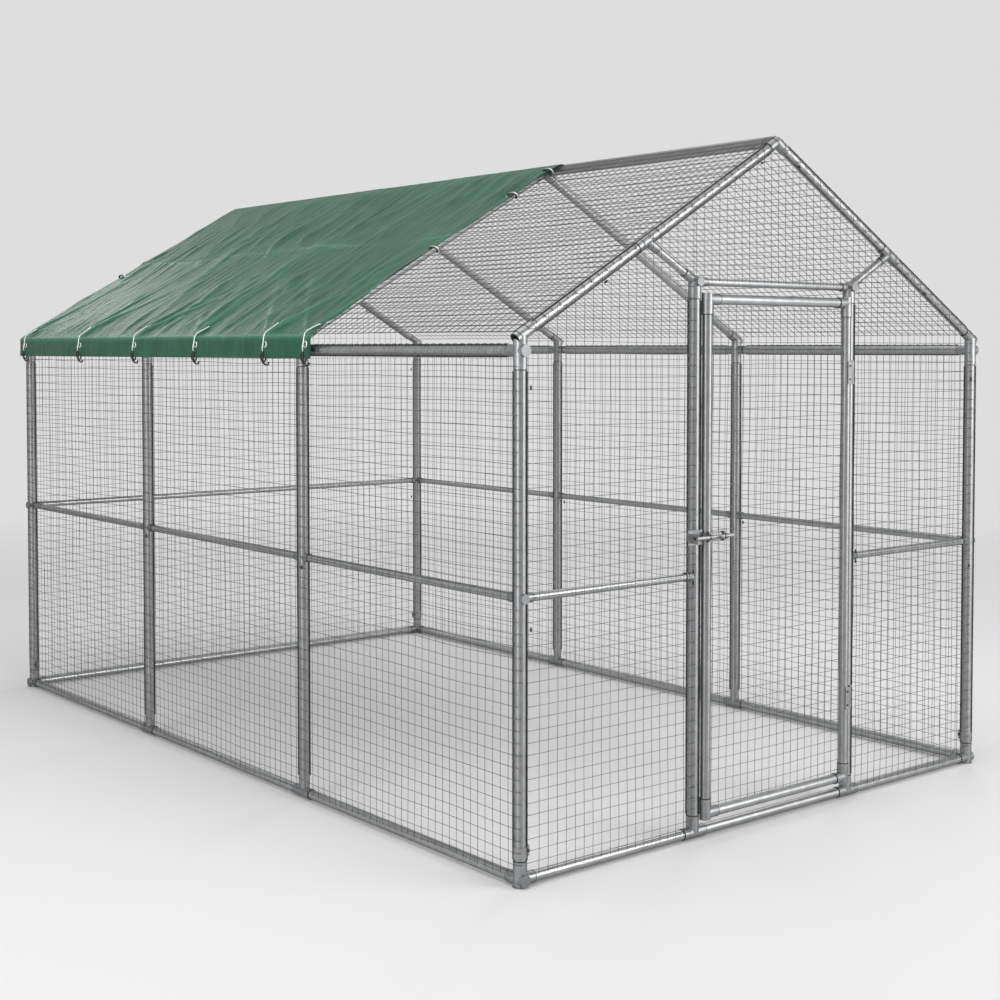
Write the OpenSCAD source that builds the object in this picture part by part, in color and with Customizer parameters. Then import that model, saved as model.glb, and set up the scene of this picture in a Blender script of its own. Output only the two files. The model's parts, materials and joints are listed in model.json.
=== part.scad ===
// Walk-in chicken run: a galvanised tube frame with a gable roof, wire mesh on every side,
// a hinged mesh door in the front gable and a tarpaulin over the left slope of the back roof bays.
// The origin is on the ground in the middle of the run, +Z is up, and the door is on the -Y gable.

/* [Run] */
// Length between the axes of the two end frames
run_l = 3000; // [2100:10:4200]
// Number of roof bays along the length
bays = 3; // [2:1:5]
// Width between the axes of the two side walls
run_w = 1870; // [1500:10:2600]
// Height of the eave rails above the base rails, axis to axis
eave_h = 1310; // [1100:10:1400]
// Height of the mid rails above the base rails, axis to axis
mid_h = 700; // [400:10:770]
// Height of the rafters' meeting point above the eave rails' axes
roof_rise = 584; // [500:2:800]
// Height of a rafter's axis above the eave rail's axis where it crosses the post
rafter_lift = 38; // [36:1:60]

/* [Doorway] */
// Distance between the axes of the two door posts
doorway_w = 650; // [500:5:800]
// Height of the lintel above the eave rails, axis to axis
lintel_rise = 185; // [140:5:210]
// Distance of the struts' tees on the rafters outside the door posts' axes
strut_out = 183; // [150:1:260]
// Distance of the door's plane in front of the door posts' axes
door_proud = 17; // [16:0.5:22]
// Gap in front view between a door post and the door's stile
door_side_gap = 2; // [1:0.5:8]
// Gap between the door's rails and the sill or the lintel
door_end_gap = 22; // [7:0.5:30]

/* [Tubes] */
// Outside diameter of the posts
post_d = 32; // [28:0.5:38]
// Outside diameter of the base rails, eave rails, ridge and rafters
rail_d = 28; // [24:0.5:30]
// Outside diameter of the mid rails
mid_d = 22; // [16:0.5:26]
// Outside diameter of the lintel and of the struts beside it
strut_d = 22; // [18:0.5:27]
// Outside diameter of the door's tubes
door_d = 28; // [22:0.5:30]
// Wall of every tube
tube_wall = 1.2; // [0.8:0.1:2]

/* [Fittings] */
// Wall of the sleeves that the tubes slide into
sleeve_wall = 1.5; // [1:0.1:2.5]
// Clearance all round a tube in its sleeve
sleeve_gap = 0.2; // [0.1:0.05:0.4]
// Reach of a rail's sleeve from the axis that it branches from
sleeve_reach = 40; // [34:1:60]
// Reach of a post's sleeve from the rail's axis
post_reach = 46; // [36:1:70]
// Reach of a mid rail's socket from the post's axis
mid_reach = 34; // [28:1:50]
// Distance of a plugged stub's face from the post's axis
stub_out = 24; // [23:0.5:34]
// Length of the open end of a rafter's sleeve past the post's axis
rafter_tail = 19; // [12:1:34]
// Thickness of an end plug's flange
plug_flange = 2; // [1:0.5:3]
// Width of the band clamps low on the corner posts
clamp_h = 28; // [18:1:40]
// Height of the band clamps above the base rails' axes
clamp_z = 69; // [66:1:120]

/* [Mesh] */
// Thickness of the mesh's wire
wire_d = 1.6; // [1:0.1:2.5]
// Pitch of the wires that are drawn on the long walls, the back and the roof, four cells of the real mesh
wall_pitch = 120; // [110:5:240]
// Pitch of the wires that are drawn on the front and the door, two cells of the real mesh
front_pitch = 60; // [58:2:150]

/* [Hinges] */
// Height of the lower hinge above the base rails' axes
low_hinge_h = 285; // [150:5:500]
// Drop of the upper hinge below the lintel's axis
high_hinge_drop = 250; // [120:5:500]
// Length of a hinge along its pin
hinge_l = 66; // [50:1:100]
// Radius of a hinge's knuckles
knuckle_r = 4; // [3.5:0.1:5]
// Radius of a hinge's pin
pin_r = 2; // [1.5:0.1:2.4]
// Thickness of a hinge's leaves
leaf_t = 1.6; // [1:0.1:2]

/* [Latch] */
// Height of the bolt above the base rails' axes
latch_h = 807; // [780:1:1000]
// Radius of the tubular bolt
bolt_r = 6; // [5:0.25:8]
// Length of the bolt
bolt_l = 148; // [138:1:180]
// Thickness of the latch's sheet metal
strap_t = 1.6; // [1:0.1:2.5]

/* [Tarpaulin] */
// Length of the tarpaulin past the second frame, toward the door
tarp_lap = 90; // [40:5:300]
// Length of the tarpaulin past the back frame
tarp_back = 30; // [22:1:60]
// Length of the tarpaulin past the ridge, down the other slope
ridge_lap = 45; // [30:1:120]
// Height of the valance that hangs below the eave
valance_h = 65; // [56:1:110]
// Thickness of the sheet
tarp_t = 2; // [1:0.5:4]
// Height of the sheet's wrinkles
wrinkle_h = 6; // [0:0.5:10]
// Height of the crease along the middle of each slope
crease_h = 5; // [0:0.5:8]
// Outside radius of an eyelet
eyelet_r = 12; // [8:0.5:16]
// Thickness of the hooks' wire
hook_d = 3.5; // [2:0.25:4]

/* [Hidden] */
$fn = 48;

// Overrun of every cut past the face that it opens
over = 1;
// Gap left between pieces that lie against each other
lay_gap = 0.3;
// Room between the ends of tubes that meet inside a fitting
stop_gap = 2;

zinc = "lightgray";
zinc_dark = "gray";
zinc_bright = "gainsboro";
wire_grey = "darkgray";
tarp_green = "seagreen";

// Bore and outside radius of a sleeve for a tube
function bore_r(d) = d / 2 + sleeve_gap;
function sleeve_r(d) = bore_r(d) + sleeve_wall;

half_w = run_w / 2;
half_l = run_l / 2;
bay_l = run_l / bays;
tube_stop = max(post_d, rail_d) / 2 + stop_gap;
foot_flange = 2;
base_z = foot_flange + lay_gap + sleeve_r(rail_d);
mid_z = base_z + mid_h;
eave_z = base_z + eave_h;
lintel_z = eave_z + lintel_rise;
apex_z = eave_z + roof_rise;
pitch_angle = atan2(roof_rise - rafter_lift, half_w);
rafter_l = norm([half_w, roof_rise - rafter_lift]);
door_post_x = doorway_w / 2;
mid_bore_start = post_d / 2 + sleeve_gap;

// Direction up the rafter of one side, from the post toward the ridge
function up_slope(side) = [-side * cos(pitch_angle), 0, sin(pitch_angle)];
// Distance along the front of frame number i, and a point on its rafter's axis
function frame_y(i) = -half_l + i * bay_l;
function rafter_point(side, y, s) = [side * half_w, y, eave_z + rafter_lift] + s * up_slope(side);

// The four corners: place, and the turn that carries the front left corner's pieces there
corners = [[-half_w, -half_l, 0], [half_w, -half_l, 90], [half_w, half_l, 180], [-half_w, half_l, 270]];

// Struts beside the lintel
strut_s = (half_w - door_post_x - strut_out) / cos(pitch_angle);
function strut_top(side) = rafter_point(side, -half_l, strut_s);
function strut_foot(side) = [side * door_post_x, -half_l, lintel_z];
function strut_way(side) = (strut_foot(side) - strut_top(side)) / norm(strut_foot(side) - strut_top(side));
strut_turn = acos(strut_way(1) * up_slope(1));
strut_top_bore = (sleeve_r(rail_d) + bore_r(strut_d) * abs(cos(strut_turn))) / sin(strut_turn);
strut_foot_bore = tube_stop + stop_gap;

// Plugs
plug_spigot = 4;
plug_gap = 0.1;
stub_bore = plug_spigot + lay_gap;
mid_stub_out = stub_out - plug_flange;
foot_rim = 1.5;

// Mesh planes
side_net_off = max(sleeve_r(post_d), sleeve_r(rail_d)) + lay_gap;
end_net_off = sleeve_r(rail_d) + lay_gap;
net_edge_gap = 1;
net_side = side_net_off + net_edge_gap;
roof_net_off = sleeve_r(rail_d) + lay_gap;
roof_net_low = 12;
net_top_lap = 8;
net_seam = 0.5;

// Door
stile_x = door_post_x - post_d / 2 - door_side_gap - door_d / 2;
door_y = -half_l - door_proud;
door_low_z = base_z + rail_d / 2 + door_end_gap + door_d / 2;
door_high_z = lintel_z - strut_d / 2 - door_end_gap - door_d / 2;
door_net_in = sleeve_r(door_d) + lay_gap;
door_sleeve_past = 1;

// Hinges
hinge_x = stile_x + door_d / 2 + door_side_gap / 2;
hinge_y = door_y - door_d / 2 - lay_gap - leaf_t + knuckle_r;
knuckle_gap = 0.4;
pin_gap = 0.08;
pin_head_r = 3.4;
pin_head_t = 2;
post_knuckle_l = 20;
door_leaf_w = 19;
leaf_bend = 7;
post_leaf_w = 13;
rivet_r = 2;
rivet_head_r = 3.4;
rivet_head_t = 1.4;
rivet_gap = 0.1;
rivet_z = 20;

// Latch: places along X are measured from the axis of the door's left stile
bolt_wall = 1.5;
bolt_gap = 0.1;
guide_wall = 2;
guide_seat = 2;
band_h = 26;
bolt_tip_x = -68;
bolt_pin_x = 19;
bolt_pin_r = 2.5;
bolt_pin_l = 15;
bolt_knob_r = 4;
near_guide_x = -13;
far_guide_x = 45;
guide_l = 10;
finger_h = 5;
bolt_z = base_z + latch_h;
bolt_out = door_d / 2 + sleeve_gap + strap_t + guide_seat + bolt_r;
bolt_y = door_y - bolt_out;
guide_r = bolt_r + bolt_gap + guide_wall;
keeper_plate_h = 40;
keeper_right = 14;
keeper_left = 40;
keeper_spacer_w = 20;
keeper_ear_h = 26;
keeper_ear_lap = 6;
keeper_hole_gap = 0.5;

// Band clamps on the corner posts
clamp_lug_l = 10;
clamp_lug_t = 2;
clamp_slit = 3;
clamp_hole_r = 2.6;
clamp_screw_r = 2.5;
clamp_head_r = 4.5;
clamp_head_t = 3;

// Tarpaulin
tarp_rest = roof_net_off + wire_d + lay_gap;
valance_gap = 1.5;
valance_room = 9;
fold_x = half_w + max(
    side_net_off + wire_d + valance_room,
    rafter_tail * cos(pitch_angle) + sleeve_r(rail_d) * sin(pitch_angle) + valance_gap
);
tarp_front_y = frame_y(1) - tarp_lap;
tarp_back_y = half_l + tarp_back;
tarp_l = tarp_back_y - tarp_front_y;
fold_z = apex_z + tarp_rest / cos(pitch_angle) - fold_x * tan(pitch_angle);
slope_steps = 12;
lap_steps = 2;
valance_steps = 2;
length_steps = 20;
wrinkle_waves = 3;
wrinkle_slant_share = 0.45;
crease_share = 0.5;
eyelet_t = 1.6;
eyelet_hole_share = 0.55;
eyelet_lay = 0.5;
eyelet_drop = 20;
eyelet_edge = 26;
eyelet_y_shares = [0.013, 0.12, 0.325, 0.53, 0.74, 0.975];
front_eyelet_shares = [0.045, 0.20, 0.53];
back_eyelet_shares = [0.55];
hook_end = 6;
hook_dip = 3;
hook_past = 14;

// Solid rod between two points
module rod(p, q, r) {
    way = q - p;
    translate(p)
        rotate([0, acos(way.z / norm(way)), atan2(way.y, way.x)])
            cylinder(h = norm(way), r = r);
}

// Hollow tube between two points
module tube(p, q, d) {
    way = (q - p) / norm(q - p);
    difference() {
        rod(p, q, d / 2);
        rod(p - over * way, q + over * way, d / 2 - tube_wall);
    }
}

// Sleeves that branch from one point. Each arm is its direction, the diameter of its tube,
// its reach, the distance at which its bore begins, and the point that it branches from.
module fitting(arms) {
    difference() {
        union()
            for (arm = arms)
                rod(arm[4], arm[4] + arm[2] * arm[0], sleeve_r(arm[1]));
        for (arm = arms)
            rod(arm[4] + arm[3] * arm[0], arm[4] + (arm[2] + over) * arm[0], bore_r(arm[1]));
    }
}

function socket(way, d, reach, from = [0, 0, 0]) = [way, d, reach, tube_stop, from];
function stub(way, d, out) = [way, d, out - plug_flange, out - plug_flange - stub_bore, [0, 0, 0]];

// Plug that closes a stub: its flange lies on the stub's end and its spigot is inside
module end_plug(way, d, out) {
    rod((out - plug_flange) * way, out * way, sleeve_r(d));
    rod((out - plug_flange - plug_spigot) * way, out * way, bore_r(d) - plug_gap);
}

module at_corner(k)
    translate([corners[k][0], corners[k][1], 0]) rotate(corners[k][2]) children();

// Post with sockets for the mid rails welded on: the ways of its sockets and of its plugged stubs
module socketed_post(low, high, ways, stubs) {
    difference() {
        union() {
            translate([0, 0, low]) cylinder(h = high - low, r = post_d / 2);
            for (way = ways)
                rod([0, 0, mid_z], [0, 0, mid_z] + mid_reach * way, sleeve_r(mid_d));
            for (way = stubs)
                rod([0, 0, mid_z], [0, 0, mid_z] + (mid_stub_out - plug_flange) * way, sleeve_r(mid_d));
        }
        translate([0, 0, low - over])
            cylinder(h = high - low + 2 * over, r = post_d / 2 - tube_wall);
        for (way = ways)
            rod(
                [0, 0, mid_z] + mid_bore_start * way,
                [0, 0, mid_z] + (mid_reach + over) * way,
                bore_r(mid_d)
            );
        for (way = stubs)
            rod([0, 0, mid_z], [0, 0, mid_z] + mid_stub_out * way, bore_r(mid_d));
    }
}

module corner_post(k)
    color(zinc)
        at_corner(k)
            socketed_post(base_z + tube_stop, eave_z - tube_stop, [[0, 1, 0], [1, 0, 0]], [[0, -1, 0]]);

module post_front_left() corner_post(0);
module post_front_right() corner_post(1);
module post_back_right() corner_post(2);
module post_back_left() corner_post(3);

// Side posts stand on a tee of their own that takes the base rails
module side_posts(side)
    color(zinc)
        for (i = [1 : bays - 1])
            translate([side * half_w, frame_y(i), 0]) {
                difference() {
                    union() {
                        socketed_post(base_z, eave_z - tube_stop, [[0, 1, 0], [0, -1, 0]], []);
                        rod([0, -sleeve_reach, base_z], [0, sleeve_reach, base_z], sleeve_r(rail_d));
                    }
                    for (way = [-1, 1])
                        rod(
                            [0, way * tube_stop, base_z],
                            [0, way * (sleeve_reach + over), base_z],
                            bore_r(rail_d)
                        );
                }
            }

module side_posts_left() side_posts(-1);
module side_posts_right() side_posts(1);

module door_post(side)
    color(zinc)
        translate([side * door_post_x, -half_l, 0])
            socketed_post(base_z + tube_stop, lintel_z - tube_stop, [[side, 0, 0]], []);

module door_post_left() door_post(-1);
module door_post_right() door_post(1);

// Rails along one side at one height
module side_rails(side, z, d, stop)
    color(zinc)
        for (i = [0 : bays - 1])
            tube([side * half_w, frame_y(i) + stop, z], [side * half_w, frame_y(i + 1) - stop, z], d);

module base_rails_left() side_rails(-1, base_z, rail_d, tube_stop);
module base_rails_right() side_rails(1, base_z, rail_d, tube_stop);
module mid_rails_left() side_rails(-1, mid_z, mid_d, mid_bore_start + sleeve_gap);
module mid_rails_right() side_rails(1, mid_z, mid_d, mid_bore_start + sleeve_gap);
module eave_rails_left() side_rails(-1, eave_z, rail_d, tube_stop);
module eave_rails_right() side_rails(1, eave_z, rail_d, tube_stop);

// Rail across the run between two places
module cross_rail(x0, x1, y, z, d, stop)
    color(zinc) tube([x0 + stop, y, z], [x1 - stop, y, z], d);

module base_rail_back() cross_rail(-half_w, half_w, half_l, base_z, rail_d, tube_stop);

module base_rails_front() {
    cross_rail(-half_w, -door_post_x, -half_l, base_z, rail_d, tube_stop);
    cross_rail(door_post_x, half_w, -half_l, base_z, rail_d, tube_stop);
}

module door_sill() cross_rail(-door_post_x, door_post_x, -half_l, base_z, rail_d, tube_stop);

module mid_rail_back() cross_rail(-half_w, half_w, half_l, mid_z, mid_d, mid_bore_start + sleeve_gap);

module mid_rails_front() {
    cross_rail(-half_w, -door_post_x, -half_l, mid_z, mid_d, mid_bore_start + sleeve_gap);
    cross_rail(door_post_x, half_w, -half_l, mid_z, mid_d, mid_bore_start + sleeve_gap);
}

module lintel() cross_rail(-door_post_x, door_post_x, -half_l, lintel_z, strut_d, tube_stop);

module ridge_tubes()
    color(zinc)
        for (i = [0 : bays - 1])
            tube([0, frame_y(i) + tube_stop, apex_z], [0, frame_y(i + 1) - tube_stop, apex_z], rail_d);

// Rafter between two distances along its slope
module rafter(side, y, s0, s1)
    color(zinc) tube(rafter_point(side, y, s0), rafter_point(side, y, s1), rail_d);

module rafters_front()
    for (side = [-1, 1]) {
        rafter(side, -half_l, tube_stop, strut_s - tube_stop);
        rafter(side, -half_l, strut_s + tube_stop, rafter_l - tube_stop);
    }

module rafters_inner()
    for (side = [-1, 1], i = [1 : bays - 1])
        rafter(side, frame_y(i), tube_stop, rafter_l - tube_stop);

module rafters_back()
    for (side = [-1, 1])
        rafter(side, half_l, tube_stop, rafter_l - tube_stop);

module lintel_struts()
    color(zinc)
        for (side = [-1, 1])
            tube(
                strut_top(side) + (strut_top_bore + stop_gap) * strut_way(side),
                strut_foot(side) - (strut_foot_bore + stop_gap) * strut_way(side),
                strut_d
            );

// Base corners: a post's sleeve down to the ground, one rail's sleeve with a plugged stub, and the other's
module base_corner_fittings()
    color(zinc_bright)
        for (k = [0 : 3])
            at_corner(k)
                translate([0, 0, base_z])
                    difference() {
                        union() {
                            fitting([
                                socket([0, 0, 1], post_d, post_reach),
                                socket([0, 1, 0], rail_d, sleeve_reach),
                                socket([1, 0, 0], rail_d, sleeve_reach),
                                stub([0, -1, 0], rail_d, stub_out)
                            ]);
                            translate([0, 0, foot_flange - base_z])
                                cylinder(h = base_z - foot_flange, r = sleeve_r(post_d));
                        }
                        translate([0, 0, foot_flange - base_z - over])
                            cylinder(h = stub_bore + over, r = bore_r(post_d));
                    }

module door_post_base_tees()
    color(zinc_bright)
        for (side = [-1, 1])
            translate([side * door_post_x, -half_l, base_z])
                fitting([
                    socket([0, 0, 1], post_d, post_reach),
                    socket([1, 0, 0], rail_d, sleeve_reach),
                    socket([-1, 0, 0], rail_d, sleeve_reach)
                ]);

// Sleeve on top of a post that carries the eave rails and a rafter with an open tail
module eave_fitting(side, rail_arms) {
    difference() {
        union() {
            fitting(concat([socket([0, 0, -1], post_d, post_reach)], rail_arms));
            cylinder(h = rafter_lift, r = sleeve_r(post_d));
            rod(
                [0, 0, rafter_lift] - rafter_tail * up_slope(side),
                [0, 0, rafter_lift] + sleeve_reach * up_slope(side),
                sleeve_r(rail_d)
            );
        }
        rod(
            [0, 0, rafter_lift] - (rafter_tail + over) * up_slope(side),
            [0, 0, rafter_lift] + (sleeve_reach + over) * up_slope(side),
            bore_r(rail_d)
        );
    }
}

// Way that the plugged stub of a corner faces
function stub_way(k) = [sin(corners[k][2]), -cos(corners[k][2]), 0];

module eave_corner_fittings()
    color(zinc_bright)
        for (k = [0 : 3])
            translate([corners[k][0], corners[k][1], eave_z])
                eave_fitting(sign(corners[k][0]), [
                    socket([0, -sign(corners[k][1]), 0], rail_d, sleeve_reach),
                    stub(stub_way(k), rail_d, stub_out)
                ]);

module eave_side_fittings()
    color(zinc_bright)
        for (side = [-1, 1], i = [1 : bays - 1])
            translate([side * half_w, frame_y(i), eave_z])
                eave_fitting(side, [
                    socket([0, 1, 0], rail_d, sleeve_reach),
                    socket([0, -1, 0], rail_d, sleeve_reach)
                ]);

// Ridge fitting: two rafters' sleeves and the ridge tubes' sleeves round a ball
module apex_fitting(y, ridge_ways)
    translate([0, y, apex_z]) {
        difference() {
            union() {
                sphere(r = sleeve_r(rail_d));
                for (side = [-1, 1])
                    rod([0, 0, 0], -sleeve_reach * up_slope(side), sleeve_r(rail_d));
                for (way = ridge_ways)
                    rod([0, 0, 0], [0, way * sleeve_reach, 0], sleeve_r(rail_d));
            }
            for (side = [-1, 1])
                rod(-tube_stop * up_slope(side), -(sleeve_reach + over) * up_slope(side), bore_r(rail_d));
            for (way = ridge_ways)
                rod([0, way * tube_stop, 0], [0, way * (sleeve_reach + over), 0], bore_r(rail_d));
        }
    }

module apex_end_fittings()
    color(zinc_bright) {
        apex_fitting(-half_l, [1]);
        apex_fitting(half_l, [-1]);
    }

module apex_inner_fittings()
    color(zinc_bright)
        for (i = [1 : bays - 1])
            apex_fitting(frame_y(i), [-1, 1]);

module lintel_corner_fittings()
    color(zinc_bright)
        for (side = [-1, 1])
            translate(strut_foot(side))
                difference() {
                    union() {
                        sphere(r = sleeve_r(post_d));
                        rod([0, 0, 0], [0, 0, -post_reach], sleeve_r(post_d));
                        rod([0, 0, 0], [-side * sleeve_reach, 0, 0], sleeve_r(strut_d));
                        rod([0, 0, 0], -post_reach * strut_way(side), sleeve_r(strut_d));
                        rod([0, 0, 0], [0, plug_flange - stub_out, 0], sleeve_r(strut_d));
                    }
                    rod([0, 0, -tube_stop], [0, 0, -post_reach - over], bore_r(post_d));
                    rod([-side * tube_stop, 0, 0], [-side * (sleeve_reach + over), 0, 0], bore_r(strut_d));
                    rod(
                        -strut_foot_bore * strut_way(side),
                        -(post_reach + over) * strut_way(side),
                        bore_r(strut_d)
                    );
                    rod([0, plug_flange + stub_bore - stub_out, 0], [0, -stub_out, 0], bore_r(strut_d));
                }

module strut_tees()
    color(zinc_bright)
        for (side = [-1, 1])
            translate(strut_top(side))
                difference() {
                    union() {
                        rod(-sleeve_reach * up_slope(side), sleeve_reach * up_slope(side), sleeve_r(rail_d));
                        rod([0, 0, 0], post_reach * strut_way(side), sleeve_r(strut_d));
                    }
                    for (way = [-1, 1])
                        rod(
                            way * tube_stop * up_slope(side),
                            way * (sleeve_reach + over) * up_slope(side),
                            bore_r(rail_d)
                        );
                    rod(
                        strut_top_bore * strut_way(side),
                        (post_reach + over) * strut_way(side),
                        bore_r(strut_d)
                    );
                }

module end_plugs()
    color(zinc_dark) {
        for (k = [0 : 3]) {
            at_corner(k)
                translate([0, 0, base_z]) end_plug([0, -1, 0], rail_d, stub_out);
            translate([corners[k][0], corners[k][1], eave_z]) end_plug(stub_way(k), rail_d, stub_out);
            at_corner(k)
                translate([0, 0, mid_z])
                    rod([0, -mid_stub_out + plug_flange, 0], [0, -mid_stub_out, 0], sleeve_r(mid_d));
        }
        for (side = [-1, 1])
            translate(strut_foot(side)) end_plug([0, -1, 0], strut_d, stub_out);
    }

module foot_plugs()
    color(zinc_dark)
        for (k = [0 : 3])
            translate([corners[k][0], corners[k][1], 0]) {
                cylinder(h = foot_flange, r = sleeve_r(post_d) + foot_rim);
                cylinder(h = foot_flange + plug_spigot, r = bore_r(post_d) - plug_gap);
            }

// Band round a corner post, drawn together by a screw through its two lugs
module post_band_clamps()
    color(zinc_dark)
        for (k = [0 : 3])
            at_corner(k)
                translate([0, 0, base_z + clamp_z - clamp_h / 2])
                    difference() {
                        union() {
                            cylinder(h = clamp_h, r = sleeve_r(post_d));
                            translate([0, -clamp_slit / 2 - clamp_lug_t, 0])
                                cube([sleeve_r(post_d) + clamp_lug_l, clamp_slit + 2 * clamp_lug_t, clamp_h]);
                        }
                        translate([0, 0, -over]) cylinder(h = clamp_h + 2 * over, r = bore_r(post_d));
                        translate([0, -clamp_slit / 2, -over])
                            cube([sleeve_r(post_d) + clamp_lug_l + over, clamp_slit, clamp_h + 2 * over]);
                        rod(
                            [sleeve_r(post_d) + clamp_lug_l / 2, -clamp_slit - clamp_lug_t, clamp_h / 2],
                            [sleeve_r(post_d) + clamp_lug_l / 2, clamp_slit + clamp_lug_t, clamp_h / 2],
                            clamp_hole_r
                        );
                    }

// Rivet through a sheet, its head outside: the point is on the sheet's outer face
module rivet(p, way, sheet) {
    rod(p + way * sheet, p, rivet_r);
    rod(p, p - way * rivet_head_t, rivet_head_r);
}

module frame_screws()
    color(zinc_dark) {
        for (k = [0 : 3])
            at_corner(k)
                translate([sleeve_r(post_d) + clamp_lug_l / 2, 0, base_z + clamp_z]) {
                    lug_y = clamp_slit / 2 + clamp_lug_t;
                    rod([0, -lug_y, 0], [0, lug_y, 0], clamp_screw_r);
                    for (way = [-1, 1])
                        rod([0, way * lug_y, 0], [0, way * (lug_y + clamp_head_t), 0], clamp_head_r);
                }
        for (z = hinge_heights, way = [-1, 1])
            rivet([door_post_x, post_leaf_y - leaf_t, z + way * rivet_z], [0, 1, 0], leaf_t);
    }

// Net laid flat: the outline's points, the same outline one wire further in, its box and its pitch
module net(outer, inner, box, pitch) {
    columns = round((box[2] - box[0]) / pitch);
    rows = round((box[3] - box[1]) / pitch);
    cell = [(box[2] - box[0]) / columns, (box[3] - box[1]) / rows];
    linear_extrude(wire_d)
        difference() {
            polygon(outer);
            intersection() {
                polygon(inner);
                union()
                    for (i = [0 : columns - 1], j = [0 : rows - 1])
                        translate([box[0] + i * cell.x + wire_d / 2, box[1] + j * cell.y + wire_d / 2])
                            square([cell.x - wire_d, cell.y - wire_d]);
            }
        }
}

function box_points(x0, y0, x1, y1) = [[x0, y0], [x1, y0], [x1, y1], [x0, y1]];

module box_net(x0, y0, x1, y1, pitch)
    net(
        box_points(x0, y0, x1, y1),
        box_points(x0 + wire_d, y0 + wire_d, x1 - wire_d, y1 - wire_d),
        [x0, y0, x1, y1],
        pitch
    );

module side_mesh(side)
    color(wire_grey)
        translate([side * side_net_off + (side < 0 ? -half_w - wire_d : half_w), 0, 0])
            rotate([90, 0, 90])
                box_net(net_side - half_l, base_z, half_l - net_side, eave_z + net_top_lap, wall_pitch);

module mesh_left() side_mesh(-1);
module mesh_right() side_mesh(1);

// Height of the rafters' axes above the ground at a distance from the middle of the gable
function slope_z(x) = apex_z - abs(x) * tan(pitch_angle);
// Drop of a net's inner outline below its slanted edge
slant_drop = wire_d / cos(pitch_angle);
net_end_x = half_w - net_side;
seam_x = door_post_x + net_side;

module mesh_back()
    color(wire_grey)
        translate([0, half_l + end_net_off + wire_d, 0])
            rotate([90, 0, 0])
                net(
                    [
                        [-net_end_x, base_z], [net_end_x, base_z], [net_end_x, slope_z(net_end_x)],
                        [0, apex_z], [-net_end_x, slope_z(net_end_x)]
                    ],
                    [
                        [wire_d - net_end_x, base_z + wire_d], [net_end_x - wire_d, base_z + wire_d],
                        [net_end_x - wire_d, slope_z(net_end_x - wire_d) - slant_drop],
                        [0, apex_z - slant_drop],
                        [wire_d - net_end_x, slope_z(net_end_x - wire_d) - slant_drop]
                    ],
                    [-net_end_x, base_z, net_end_x, apex_z],
                    wall_pitch
                );

// Net between a corner post and a door post, up to the rafter
module front_mesh(side)
    color(wire_grey)
        translate([0, -half_l - end_net_off, 0])
            rotate([90, 0, 0])
                mirror([side < 0 ? 1 : 0, 0, 0])
                    net(
                        [
                            [seam_x + net_seam, base_z], [net_end_x, base_z],
                            [net_end_x, slope_z(net_end_x)], [seam_x + net_seam, slope_z(seam_x + net_seam)]
                        ],
                        [
                            [seam_x + net_seam + wire_d, base_z + wire_d],
                            [net_end_x - wire_d, base_z + wire_d],
                            [net_end_x - wire_d, slope_z(net_end_x - wire_d) - slant_drop],
                            [seam_x + net_seam + wire_d, slope_z(seam_x + net_seam + wire_d) - slant_drop]
                        ],
                        [seam_x + net_seam, base_z, net_end_x, slope_z(seam_x)],
                        front_pitch
                    );

module mesh_front_left() front_mesh(-1);
module mesh_front_right() front_mesh(1);

gable_net_x = seam_x - net_seam;
gable_net_z = lintel_z + net_side;

module mesh_front_gable()
    color(wire_grey)
        translate([0, -half_l - end_net_off, 0])
            rotate([90, 0, 0])
                net(
                    [
                        [-gable_net_x, gable_net_z], [gable_net_x, gable_net_z],
                        [gable_net_x, slope_z(gable_net_x)], [0, apex_z], [-gable_net_x, slope_z(gable_net_x)]
                    ],
                    [
                        [wire_d - gable_net_x, gable_net_z + wire_d],
                        [gable_net_x - wire_d, gable_net_z + wire_d],
                        [gable_net_x - wire_d, slope_z(gable_net_x - wire_d) - slant_drop],
                        [0, apex_z - slant_drop],
                        [wire_d - gable_net_x, slope_z(gable_net_x - wire_d) - slant_drop]
                    ],
                    [-gable_net_x, gable_net_z, gable_net_x, apex_z],
                    front_pitch
                );

// Net on one slope of the roof, from below the eave to the ridge
module roof_mesh(side)
    color(wire_grey)
        mirror([side > 0 ? 1 : 0, 0, 0])
            translate([-half_w, 0, eave_z + rafter_lift])
                rotate([0, -pitch_angle, 0])
                    translate([0, 0, roof_net_off])
                        box_net(
                            -roof_net_low,
                            -half_l - sleeve_r(rail_d),
                            rafter_l + roof_net_off * tan(pitch_angle) - net_seam,
                            half_l + sleeve_r(rail_d),
                            wall_pitch
                        );

module mesh_roof_left() roof_mesh(-1);
module mesh_roof_right() roof_mesh(1);

module door_stiles()
    color(zinc)
        for (side = [-1, 1])
            tube(
                [side * stile_x, door_y, door_low_z + tube_stop],
                [side * stile_x, door_y, door_high_z - tube_stop],
                door_d
            );

module door_rails() {
    cross_rail(-stile_x, stile_x, door_y, door_low_z, door_d, tube_stop);
    cross_rail(-stile_x, stile_x, door_y, door_high_z, door_d, tube_stop);
}

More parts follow.
